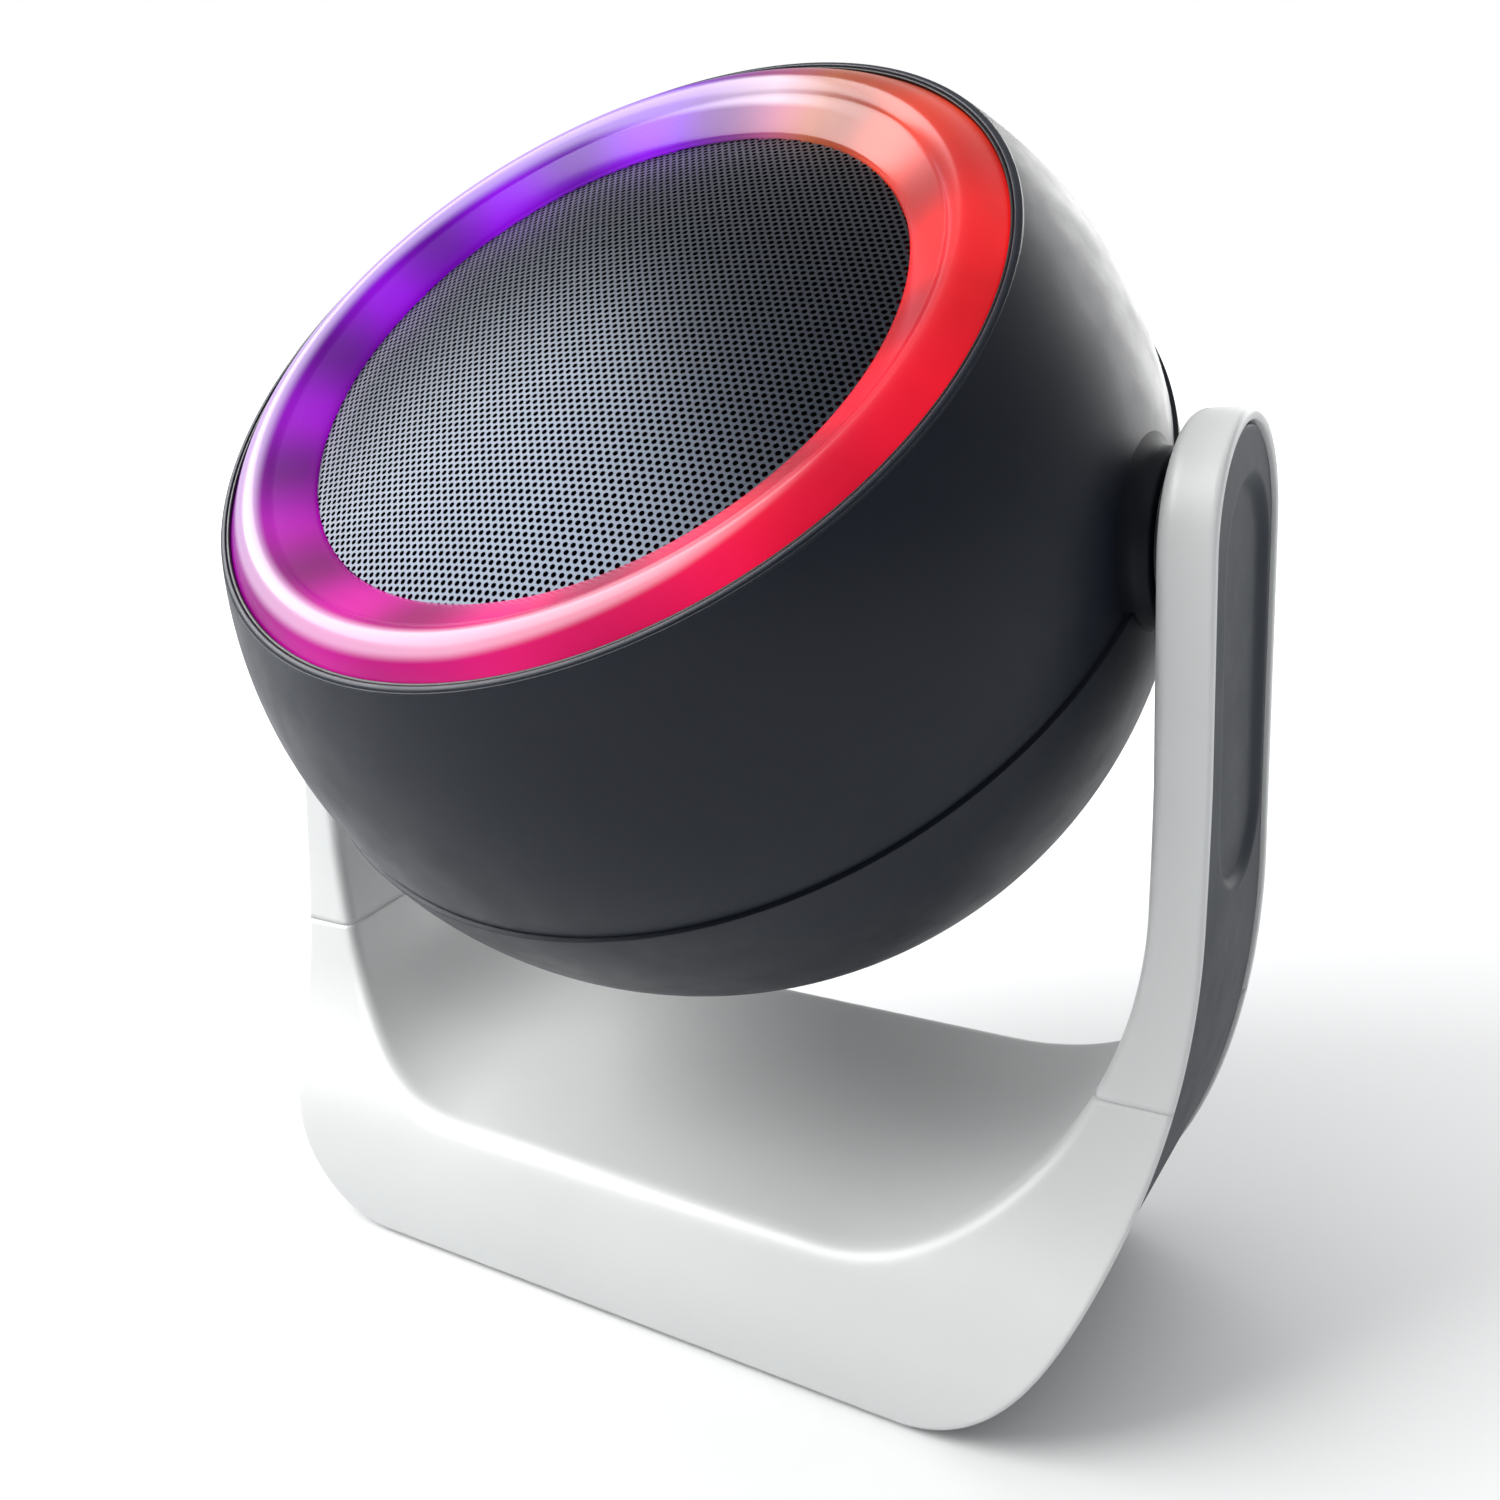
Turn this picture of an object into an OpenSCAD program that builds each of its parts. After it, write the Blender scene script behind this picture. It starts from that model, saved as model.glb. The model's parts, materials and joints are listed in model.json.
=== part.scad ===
// Ball speaker that tilts in a U-shaped yoke stand.
// The origin is on the surface it stands on, under the tilt axis.
// X runs along the tilt axis, the front of the stand faces -Y.

/* [Ball] */
// Outer radius of the ball's rear shell
ball_r = 70; // [68:0.5:90]
// How far the front shell sits inside the rear shell's surface
front_step = 0.6; // [0.2:0.1:1.5]
// Wall of both shells
shell_wall = 2.4; // [1.6:0.1:3.2]
// Space between the ball and the back edge of the base's top
under_gap = 14.2; // [8:0.1:30]
// Angle between the grille's axis and the vertical at rest
face_lean = 38.9; // [0:0.1:90]

/* [Face] */
// Outer radius of the light ring's seat
seat_r = 57.4; // [54:0.1:58]
// Width of the front shell's lip around the seat
lip_w = 0.74; // [0.6:0.02:2]
// Width of the black trim around the light ring
trim_w = 1; // [0.6:0.1:2]
// Radius of the grille
grille_r = 43.9; // [42:0.1:46]
// Height of the grille's dome
dome_h = 4.6; // [2:0.1:6]
// Number of lamps under the light ring
lamp_count = 12; // [8:1:36]

/* [Driver] */
// Outer radius of the driver's flange
driver_r = 41; // [38:0.5:42]
// Radius of the pole piece
pole_r = 9.8; // [8:0.1:11]
// Radius of the magnet
magnet_r = 25; // [20:0.5:28]

/* [Yoke] */
// Gap between the ball and each arm
arm_gap = 3.15; // [2.6:0.05:6]
// Thickness of each arm
arm_t = 7.25; // [7:0.05:10]
// Half the depth of the arms, front to back
arm_half = 16; // [15.5:0.1:20]
// Height at which the base and the arms part
split_z = 44.5; // [38:0.5:52]
// Height of the base's front crease
crease_z = 20.9; // [18:0.1:26]
// How far the base reaches forward of the tilt axis
base_front = 42.8; // [36:0.1:60]
// Height of the base's top at its back edge
back_z = 28.5; // [24:0.1:34]
// Wall of the white mouldings
white_wall = 1.8; // [1.4:0.1:2.4]
// Thickness of the rubber sole
sole_t = 1.2; // [0.8:0.1:2]

/* [Pivot] */
// Radius of the boss between the ball and each arm
boss_r = 11.5; // [10:0.5:14]
// Radius of the pivot spindle
spindle_r = 5; // [4:0.1:6]
// Radial clearance of the spindle in its bearing
spindle_fit = 0.05; // [0.02:0.01:0.1]

/* [Controls] */
// Radius of the rear control panel
panel_r = 19.8; // [18:0.1:21]
// Radius of each button cap
button_r = 4; // [3:0.1:4.5]
// Distance of the outer buttons from the panel's centre
button_ring = 10.5; // [10:0.1:11.5]
// Travel of each button
button_travel = 0.5; // [0.3:0.1:0.6]

/* [Hidden] */

$fn = 96;
far = 300;                       // longer than anything it cuts
eps = 0.01;

// Ball, in its own frame: Z is the grille's axis
front_r = ball_r - front_step;
front_in = front_r - shell_wall;
rim_z = sqrt(pow(front_r, 2) - pow(seat_r + lip_w, 2));
pivot_h = back_z + under_gap + ball_r;
arm_in = ball_r + arm_gap;
rear_in = ball_r - shell_wall;
seam_gap = 0.4;
tongue_h = 3;
tongue_t = 1.4;
tongue_gap = 0.5;
trim_r = seat_r;
ring_out = trim_r - trim_w - 0.05;
ring_in = grille_r + 0.1;
ring_bottom = rim_z - 4.8;
ring_bulge = 2.7;
crease_r = grille_r + 5.4;
crease_rise = 1.4;
ring_edge = rim_z - 0.5;
grille_edge = rim_z - 2.2;
grille_t = 0.8;
reflector_floor = 1.2;
reflector_z = ring_bottom - 4.6;
shelf_t = 2.5;
seat_wall = 1.6;
shelf_in = grille_r + 0.9;
shelf_z = reflector_z - shelf_t;
baffle_t = 3;
baffle_z = shelf_z - baffle_t;
post_r = 3.4;
post_ring = seat_r - post_r;
baffle_out = post_ring - post_r - 0.6;
baffle_in = driver_r - 6.5;
lamp_board_t = 0.8;
lamp_board_z = reflector_z + reflector_floor;
lamp_z = lamp_board_z + lamp_board_t;
lamp_ring = (ring_in + ring_out) / 2;
lamp = [3.5, 2.8, 0.9];

baffle_ring = (shelf_in + baffle_out) / 2 + 0.3;
screw_r = 1.25;
screw_head_r = 2.5;
screw_head_t = 1.3;

// Driver, stacked downwards from the baffle's front face
flange_t = 2;
gasket_t = 1.2;
flange_z = baffle_z + baffle_t;
basket_h = 19.5;
basket_low = flange_z - basket_h;
plate_t = 3;
plate_z = basket_low - plate_t;
magnet_t = 8;
magnet_z = plate_z - magnet_t;
back_t = 4;
coil_gap = 0.35;
coil_r = pole_r + coil_gap;
coil_t = 0.6;
gap_r = coil_r + coil_t + coil_gap;
cone_r = driver_r - 11;
cone_neck = coil_r + coil_t;
cone_low = flange_z - 9;
cone_top = flange_z + flange_t - 0.02;
cone_t = 0.5;
cone_slope = (cone_top - cone_low - 0.9) / (cone_r - cone_neck);
surround_r = driver_r - 4.4;
spider_z = flange_z - 14;
spider_t = 0.6;
spider_r = driver_r - 14.8;
spider_ledge = 1.4;

// Boards and cells behind the driver
chassis_z = magnet_z - back_t - 6;
chassis_t = 2;
chassis_r = 58;
rib_x = 41;
rib_half = 14;
rib_screw = 9;
cradle_x = 24;
board = [76, 56, 1.6];
board_z = chassis_z - 4;
cell_r = 9.2;
cell_l = 65;
cell_z = board_z - board[2] - 14.5;
wrap_t = 0.6;

// Rear controls
panel_t = 2;
panel_fit = 0.2;
panel_z = 0.08 - sqrt(pow(ball_r, 2) - pow(panel_r + panel_fit, 2));
seat_t = 4;
switch = [5, 5, 1.6];
control_t = 1.6;
control_z = panel_z + panel_t + seat_t;
cap_out = 0.8;
cap_fit = 0.3;
cap_flange = 1.2;
socket = [9, 7.4, 3.3];
socket_y = -11.5;
button_at = [[0, 0], [button_ring, 0], [-button_ring, 0], [0, button_ring]];

// Pivot, along X
hub_flange_t = 2.5;
hub_fit = 0.1;
hub_lip = 2;
hub_flange_in = sqrt(pow(front_in, 2) - pow(boss_r + hub_lip, 2)) - hub_flange_t - 0.28;
boss_end = arm_in - 1.75;
washer_gap = 0.35;
frame_gap = 0.1;
frame_t = 1.6;
frame_in = arm_in + white_wall + frame_gap;
frame_out = frame_in + frame_t;
frame_half = 7.5;
frame_end_r = 12;
clip_gap = 0.3;
clip_t = 0.8;
clip_r = 8;
clip_out = frame_out + clip_gap + clip_t;
lug_r = 10.4;
lug_half = 1.5;
stop_pin_r = 1.2;
stop_ring = 9.6;
stop_lead = 18.5;
tilt_min = -69;
tilt_max = 61;

// Yoke: outer and inner outlines seen from the front, and the side outline
arm_out = arm_in + arm_t;
foot_z = sole_t - 0.4;
outer_rx = 32.5;
outer_rz = 66;
inner_rx = 39.6;
inner_rz = 47.3;
back_rx = 31.1;
back_rz = 19.5;
cover_sink = 0.4;
cover_t = 1.8;
cover_gap = 0.3;
flat_half = arm_out - outer_rx;
plate_half = flat_half - 1.5;
part_gap = 0.1;
sole_inset = 4;
sole_round = 6;
pocket_y = 2;
pocket_r = 10.5;
pocket_top = pivot_h + 7.7;
pocket_low = pivot_h - 46.4;
pocket_d = 0.8;
arm_screw_z = [pivot_h - 21, pivot_h - 39];
peg_z = [pivot_h - 30, pivot_h - 48];
frame_screw_x = 26;
post_x = 34;
post_y = [-29, 11.2];
base_post_r = 3;

function ellipse(rx, rz, from, to) = [for (i = [0:16]) let (a = from + (to - from) * i / 16)
    [rx * cos(a), rz * sin(a)]];
function arch(half, low, rx, rz) = concat(
    [[half, far]],
    [for (p = ellipse(rx, rz, 0, -90)) [half - rx + p[0], low + rz + p[1]]],
    [for (p = ellipse(rx, rz, -90, -180)) [rx - half + p[0], low + rz + p[1]]],
    [[-half, far]]);
function bezier(a, b, c, d, t) = a * pow(1 - t, 3) + b * 3 * t * pow(1 - t, 2)
    + c * 3 * t * t * (1 - t) + d * pow(t, 3);

// Front edge of the yoke from the side: straight arm, then a sweep out to the foot
function sweep(inset) = [for (i = [0:20]) bezier(
    [-arm_half, pivot_h - 28], [-arm_half - 5, crease_z - 6],
    [-base_front - 0.7, crease_z + 11], [-base_front, 0], i / 20) + [inset, 0]];

module ball() { translate([0, 0, pivot_h]) rotate([face_lean, 0, 0]) children(); }
module ring(inner, outer, low, high) {
    translate([0, 0, low]) difference() {
        cylinder(r = outer, h = high - low);
        translate([0, 0, -1]) cylinder(r = inner, h = high - low + 2);
    }
}
module slab(low, high) { translate([-far / 2, -far / 2, low]) cube([far, far, high - low]); }
module along_x(from, to, r) {
    translate([from, 0, 0]) rotate([0, 90, 0]) cylinder(r = r, h = to - from);
}
module at_pivot() { translate([0, 0, pivot_h]) children(); }
module left() { mirror([1, 0, 0]) children(); }

// ---- ball shells
module hub_cut() {
    for (s = [0, 1]) mirror([s, 0, 0]) {
        along_x(hub_flange_in - 4, ball_r + 5, boss_r + hub_fit);
        along_x(hub_flange_in - 4, hub_flange_in + hub_flange_t + hub_fit, boss_r + hub_lip + hub_fit);
    }
}
module screw_spots(r, first) {
    for (a = [first:90:first + 270]) rotate([0, 0, a]) translate([r, 0, 0]) children();
}
module front_shell() {
    color("#2b2f38") ball() difference() {
        union() {
            intersection() {
                difference() { sphere(r = front_r, $fn = 160); sphere(r = front_in, $fn = 160); }
                slab(seam_gap / 2, rim_z);
            }
            intersection() {
                sphere(r = front_r - 0.3, $fn = 160);
                ring(seat_r, seat_r + seat_wall, shelf_z, rim_z);
            }
            ring(shelf_in, seat_r + seat_wall, shelf_z, shelf_z + shelf_t);
        }
        hub_cut();
        translate([0, 0, shelf_z + shelf_t]) cylinder(r = seat_r, h = 20);
        screw_spots(post_ring, 45) screw_hole();
        screw_spots(baffle_ring, 0) screw_hole();
    }
}
module screw_hole() {
    translate([0, 0, shelf_z - 1]) cylinder(r = screw_r + 0.25, h = shelf_t + 2);
    translate([0, 0, shelf_z + shelf_t - screw_head_t]) cylinder(r = screw_head_r + 0.1, h = screw_head_t + 1);
}
module screw(length) {
    translate([0, 0, shelf_z + shelf_t - screw_head_t]) cylinder(r = screw_head_r, h = screw_head_t);
    translate([0, 0, shelf_z + shelf_t - screw_head_t - length]) cylinder(r = screw_r, h = length + screw_head_t / 2);
}
module rear_shell() {
    color("#2f343e") ball() difference() {
        union() {
            intersection() {
                difference() { sphere(r = ball_r, $fn = 160); sphere(r = rear_in, $fn = 160); }
                slab(-far / 2, -seam_gap / 2);
            }
            intersection() {
                sphere(r = ball_r - 0.5, $fn = 160);
                union() {
                    ring(front_in - tongue_gap - tongue_t, ball_r, -4, -seam_gap / 2);
                    ring(panel_r - 2.6, panel_r + 3, panel_z + panel_t, control_z);
                    screw_spots(post_ring, 45) translate([0, 0, shelf_z - far]) cylinder(r = post_r, h = far);
                    for (x = [-rib_x, rib_x]) translate([x - 2, -rib_half, chassis_z - far])
                        cube([4, 2 * rib_half, far]);
                    for (x = [-cradle_x, cradle_x]) translate([x - 1, -cell_r, cell_z - cell_r - wrap_t - far])
                        cube([2, 2 * cell_r, far]);
                }
            }
            ring(front_in - tongue_gap - tongue_t, front_in - tongue_gap, -4, tongue_h);
        }
        hub_cut();
        translate([0, 0, -far]) cylinder(r = panel_r + panel_fit, h = far + panel_z + panel_t);
        screw_spots(post_ring, 45) translate([0, 0, shelf_z - 16]) cylinder(r = screw_r + 0.05, h = 20);
        for (x = [-rib_x, rib_x], y = [-rib_screw, rib_screw]) translate([x, y, chassis_z - 9])
            cylinder(r = 1.05, h = 20);
    }
}
module shell_screws() { color("silver") ball() screw_spots(post_ring, 45) screw(14); }
module baffle_screws() { color("silver") ball() screw_spots(baffle_ring, 0) screw(3.4); }

// ---- face
module trim_ring() {
    color("#101114") ball() ring(trim_r - trim_w, trim_r - 0.05, ring_bottom, rim_z - 0.35);
}
// Light ring: a rounded roll from the outer edge to a crease, then a bevel down to the grille
function roll(n) = [for (i = [0:n]) let (t = i / n) [
    ring_out + (crease_r - ring_out) * t,
    ring_edge + (crease_rise - 0.6) * t + ring_bulge * sin(180 * pow(t, 0.6))]];
module light_ring() {
    color([0.85, 0.2, 0.5, 0.6]) ball() rotate_extrude($fn = 120) polygon(concat(
        [[ring_in, ring_bottom], [ring_out, ring_bottom]],
        roll(16),
        [[ring_in, grille_edge + 0.3]]));
}
module ring_reflector() {
    color("white") ball() difference() {
        ring(ring_in, ring_out, reflector_z, ring_bottom);
        ring(ring_in + 1, ring_out - 1, lamp_board_z, ring_bottom + 1);
    }
}
module lamp_board() {
    color("#0f5132") ball() ring(ring_in + 1.2, ring_out - 1.2, lamp_board_z, lamp_z);
}
module ring_lamps() {
    color("#f8f4dc") ball() for (i = [0:lamp_count - 1]) rotate([0, 0, 360 * (i + 0.5) / lamp_count])
        translate([lamp_ring, 0, lamp_z + lamp[2] / 2]) cube([lamp[1], lamp[0], lamp[2]], center = true);
}
module microphones() {
    color("silver") ball() for (a = [45, 225]) rotate([0, 0, a])
        translate([driver_r + 1.1, 0, flange_z + 0.5]) cube([1.4, 3.4, 1], center = true);
}
module grille() {
    dome_r = (pow(grille_r, 2) + pow(dome_h, 2)) / (2 * dome_h);
    centre = grille_edge + dome_h - dome_r;
    color("#3a3d43") ball() union() {
        intersection() {
            translate([0, 0, centre]) difference() {
                sphere(r = dome_r, $fn = 160);
                sphere(r = dome_r - grille_t, $fn = 160);
            }
            translate([0, 0, grille_edge - 3]) cylinder(r = grille_r, h = 20);
        }
        ring(grille_r - grille_t, grille_r, reflector_z, grille_edge - 0.2);
    }
}

// ---- driver
module baffle() {
    color("#202227") ball() difference() {
        ring(baffle_in, baffle_out, baffle_z, flange_z);
        screw_spots(driver_r - 2.6, 45) translate([0, 0, baffle_z - 1]) cylinder(r = 1.2, h = 10);
        screw_spots(baffle_ring, 0) translate([0, 0, baffle_z - 1]) cylinder(r = 1.3, h = 10);
    }
}
module driver_gasket() {
    color("#111111") ball() difference() {
        ring(surround_r + 0.2, driver_r, flange_z + flange_t, flange_z + flange_t + gasket_t);
        screw_spots(driver_r - 2.6, 45) translate([0, 0, flange_z]) cylinder(r = 1.3, h = 10);
    }
}
module driver_basket() {
    rim = driver_r - 8;
    foot = spider_r - 0.8;
    color("#2a2a2c") ball() union() {
        difference() {
            union() {
                ring(surround_r - 3.4, driver_r, flange_z, flange_z + flange_t);
                rotate_extrude() polygon([[rim, flange_z + 1], [rim + 1.2, flange_z + 1],
                    [rim + 1.2, flange_z - 1], [foot, basket_low], [gap_r, basket_low],
                    [gap_r, basket_low + 1.5], [foot - 1, basket_low + 1.5], [rim, flange_z - 0.6]]);
            }
            for (a = [0:90:270]) rotate([0, 0, a]) translate([foot - 5.4, -9, basket_low + 3]) cube([20, 18, 12]);
            screw_spots(driver_r - 2.6, 45) translate([0, 0, flange_z - 1]) cylinder(r = 1.3, h = 10);
        }
        ring(spider_r - spider_ledge, spider_r + 1.2, spider_z - 1.2, spider_z);
    }
}
module driver_screws() {
    seat = flange_z + flange_t + gasket_t;
    color("silver") ball() screw_spots(driver_r - 2.6, 45) {
        translate([0, 0, baffle_z + 0.2]) cylinder(r = 1.15, h = seat + 0.7 - baffle_z - 0.2);
        translate([0, 0, seat]) cylinder(r = 2.4, h = 1.3);
    }
}
module top_plate() { color("silver") ball() ring(gap_r, magnet_r - 3, plate_z, basket_low); }
module driver_magnet() { color("#3b3b3e") ball() ring(gap_r + 1, magnet_r, magnet_z, plate_z); }
module pole_piece() {
    color("silver") ball() union() {
        translate([0, 0, magnet_z - back_t]) cylinder(r = magnet_r - 1.5, h = back_t);
        translate([0, 0, magnet_z - eps]) cylinder(r = pole_r, h = basket_low - magnet_z);
    }
}
module voice_coil() {
    color("#b87333") ball() ring(coil_r, coil_r + coil_t, plate_z - 2.5, cone_low);
}
module driver_cone() {
    color("#1c1d20") ball() rotate_extrude() polygon([[coil_r, cone_low], [cone_neck + 0.6, cone_low],
        [cone_r, cone_top - cone_t], [cone_r, cone_top], [cone_neck, cone_low + 0.9],
        [coil_r, cone_low + 0.9]]);
}
module dust_cap() {
    cap = cone_neck + 0.85;
    rise = 3.4;
    low = cone_low + 0.9 + (cap - cone_neck) * cone_slope + 0.01;
    cap_r = (cap * cap + rise * rise) / (2 * rise);
    color("#15161a") ball() intersection() {
        translate([0, 0, low + rise - cap_r]) difference() {
            sphere(r = cap_r);
            sphere(r = cap_r - 0.5);
        }
        translate([0, 0, low]) cylinder(r = cap, h = 10);
    }
}
module surround() {
    mid = (cone_r + surround_r - 0.6) / 2;
    half = (surround_r - 0.6 - cone_r) / 2;
    color("#0d0d0f") ball() rotate_extrude() translate([mid, flange_z + flange_t]) intersection() {
        difference() { circle(r = half + 0.4, $fn = 48); circle(r = half - 0.4, $fn = 48); }
        translate([-10, 0]) square([20, 10]);
    }
}
module spider() {
    color("#c9a24a") ball() ring(cone_neck, spider_r, spider_z, spider_z + spider_t);
}

// ---- inside of the ball
module board_spots() {
    for (x = [-1, 1], y = [-1, 1]) translate([x * (board[0] / 2 - 4), y * (board[1] / 2 - 4), 0]) children();
}
module chassis() {
    color("#26282d") ball() difference() {
        union() {
            translate([0, 0, chassis_z]) cylinder(r = chassis_r, h = chassis_t);
            board_spots() translate([0, 0, board_z]) cylinder(r = 3, h = chassis_z - board_z + 0.5);
        }
        screw_spots(post_ring, 45) translate([0, 0, chassis_z - 1]) cylinder(r = post_r + 0.4, h = 5);
        translate([0, 0, chassis_z - 1]) cylinder(r = 12, h = 5);
        board_spots() translate([0, 0, board_z - 1]) cylinder(r = 1.05, h = chassis_z - board_z);
        for (x = [-rib_x, rib_x], y = [-rib_screw, rib_screw]) translate([x, y, chassis_z - 1])
            cylinder(r = 1.3, h = 20);
    }
}
module chassis_screws() {
    color("silver") ball() for (x = [-rib_x, rib_x], y = [-rib_screw, rib_screw]) translate([x, y, 0]) {
        translate([0, 0, chassis_z + chassis_t]) cylinder(r = 2.2, h = 1.2);
        translate([0, 0, chassis_z - 8]) cylinder(r = 1, h = 8 + chassis_t + 0.5);
    }
}
module board_screws() {
    color("silver") ball() board_spots() {
        translate([0, 0, board_z - board[2] - 1.1]) cylinder(r = 2, h = 1.1);
        translate([0, 0, board_z - board[2] - 0.5]) cylinder(r = 1, h = board[2] + 3.3);
    }
}
module main_board() {
    color("#14532d") ball() difference() {
        translate([0, 0, board_z - board[2] / 2]) cube(board, center = true);
        board_spots() translate([0, 0, board_z - board[2] - 1]) cylinder(r = 1.2, h = 4);
    }
}
module board_parts() {
    color("#17181b") ball() translate([0, 0, board_z - board[2]]) {
        for (p = [[-24, 12, 9, 9, 1.2], [-4, 14, 7, 7, 1], [18, 12, 10, 10, 1.2], [26, -14, 8, 8, 4],
                [-26, -14, 8, 8, 4], [-8, -14, 12, 7, 2.2], [12, -14, 6, 6, 2.6]])
            translate([p[0] - p[2] / 2, p[1] - p[3] / 2, -p[4]]) cube([p[2], p[3], p[4]]);
    }
}
module battery_cells() {
    color("#3f7fbf") ball() for (s = [-1, 1]) translate([-cell_l / 2, s * (cell_r + 0.2), cell_z])
        rotate([0, 90, 0]) cylinder(r = cell_r, h = cell_l);
}
module battery_wrap() {
    r = cell_r + wrap_t;
    long = cell_l - 6;
    color("#101828") ball() difference() {
        translate([-long / 2, -2 * r + wrap_t, cell_z - r]) cube([long, 4 * r - 2 * wrap_t, 2 * r]);
        translate([-long, -2 * cell_r - 0.2, cell_z - cell_r]) cube([2 * long, 4 * cell_r + 0.4, 2 * cell_r]);
    }
}

// ---- rear controls
module rear_panel() {
    color("#1b1d22") ball() difference() {
        translate([0, 0, panel_z]) cylinder(r = panel_r, h = panel_t);
        for (p = button_at) translate([p[0], p[1], panel_z - 1]) cylinder(r = button_r + cap_fit, h = 10);
        translate([0, socket_y, panel_z]) cube([socket[0] + 0.6, socket[2] + 0.6, 10], center = true);
    }
}
module control_board() {
    color("#14532d") ball() translate([0, 0, control_z]) cylinder(r = panel_r + 1, h = control_t);
}
module tact_switches() {
    color("#d4d4d8") ball() for (p = button_at)
        translate([p[0], p[1], control_z - switch[2] / 2]) cube(switch, center = true);
}
module charge_socket() {
    color("silver") ball() translate([0, socket_y, control_z - socket[1] / 2]) difference() {
        cube([socket[0], socket[2], socket[1]], center = true);
        translate([0, 0, -1]) cube([socket[0] - 0.8, socket[2] - 0.8, socket[1]], center = true);
    }
}
module button(at) {
    color("#33373f") ball() translate([at[0], at[1], 0]) {
        translate([0, 0, panel_z - cap_out]) cylinder(r = button_r, h = cap_out + panel_t + cap_fit + cap_flange);
        translate([0, 0, panel_z + panel_t + cap_fit]) cylinder(r = button_r + 0.9, h = cap_flange);
    }
}
module power_button() { button(button_at[0]); }
module volume_up_button() { button(button_at[1]); }
module volume_down_button() { button(button_at[2]); }
module light_button() { button(button_at[3]); }

// ---- pivot, right side; the left side is its mirror image
module hub() {
    color("#1d1f24") at_pivot() difference() {
        union() {
            intersection() {
                along_x(hub_flange_in, hub_flange_in + hub_flange_t, boss_r + hub_lip);
                sphere(r = front_in - 0.2);
            }
            along_x(hub_flange_in, boss_end, boss_r);
            along_x(boss_end - 1, clip_out - clip_t, spindle_r);
        }
        along_x(hub_flange_in - 1, far, 1.55);
    }
}
module pivot_clip() {
    color("silver") at_pivot() difference() {
        union() {
            along_x(clip_out - clip_t, clip_out, clip_r);
            translate([clip_out - clip_t, -lug_half, -lug_r]) cube([clip_t, 2 * lug_half, lug_r - clip_r + 2]);
        }
        along_x(clip_out - clip_t - 1, clip_out + 1, 3.05);
    }
}
module pivot_screw() {
    color("#8a8d92") at_pivot() union() {
        along_x(clip_out - clip_t, clip_out, 3);
        along_x(hub_flange_in + 3, clip_out, 1.5);
    }
}
module friction_washer() {
    color("#c8b48a") at_pivot() difference() {
        along_x(boss_end + washer_gap, arm_in, boss_r - 1);
        along_x(boss_end, arm_in + 1, spindle_r + 0.6);
    }
}
module right_hub() { hub(); }
module left_hub() { left() hub(); }
module right_pivot_clip() { pivot_clip(); }
module left_pivot_clip() { left() pivot_clip(); }
module right_pivot_screw() { pivot_screw(); }
module left_pivot_screw() { left() pivot_screw(); }
module right_friction_washer() { friction_washer(); }
module left_friction_washer() { left() friction_washer(); }

// ---- yoke
module along_y(low, high) {
    translate([0, high, 0]) rotate([90, 0, 0]) linear_extrude(high - low) children();
}
// The yoke's opening: its outline at the front crease flows into a tighter one at the back edge
sweep_table = [for (i = [20:-1:0]) let (p = sweep(0)[i]) [p[1], p[0]]];
function front_of(z) = lookup(z, sweep_table);
function outline_at(y, grow) = let (
    front = arch(arm_in + grow, crease_z - grow, inner_rx + grow, inner_rz + grow),
    back = arch(arm_in + grow, back_z - grow, back_rx + grow, back_rz + grow))
    [for (i = [0:len(front) - 1]) back[i] + (front[i] - back[i]) * (arm_half - y)
        / (arm_half - front_of(front[i][1] + grow))];
module opening_block(grow) {
    hull() {
        along_y(-base_front - 5, -base_front - 4) polygon(outline_at(-base_front - 4, grow));
        along_y(arm_half + 4, arm_half + 5) polygon(outline_at(arm_half + 4, grow));
    }
}
module outer_block(shrink) {
    along_y(-2 * base_front, far / 2) polygon(arch(arm_out - shrink, foot_z + shrink,
        outer_rx - shrink, outer_rz - shrink));
}
module side_block(inset) {
    rotate([90, 0, 90]) translate([0, 0, -far / 2]) linear_extrude(far) union() {
        polygon(concat(sweep(inset), [[arm_half - inset, 0], [arm_half - inset, pivot_h],
            [inset - arm_half, pivot_h]]));
        translate([0, pivot_h]) circle(r = arm_half - inset);
    }
}
module white_band() {
    difference() {
        intersection() {
            outer_block(0);
            side_block(0);
        }
        opening_block(0);
        intersection() {
            difference() {
                slab(-far / 2, far / 2);
                opening_block(white_wall);
            }
            side_block(white_wall);
        }
    }
}
module x_holes(zs, from, to, r) { for (z = zs) translate([0, 0, z]) along_x(from, to, r); }
module arm() {
    color("#e9ebec") difference() {
        union() {
            intersection() {
                white_band();
                translate([0, -far / 2, split_z + part_gap]) cube(far);
            }
            x_holes(arm_screw_z, arm_in + white_wall - 0.3, frame_out + 0.05, 2.8);
        }
        at_pivot() along_x(arm_in - 1, frame_in, spindle_r + 1);
        x_holes(arm_screw_z, arm_in + 0.8, arm_out, 1.05);
    }
}
module right_arm() { arm(); }
module left_arm() { left() arm(); }
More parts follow.
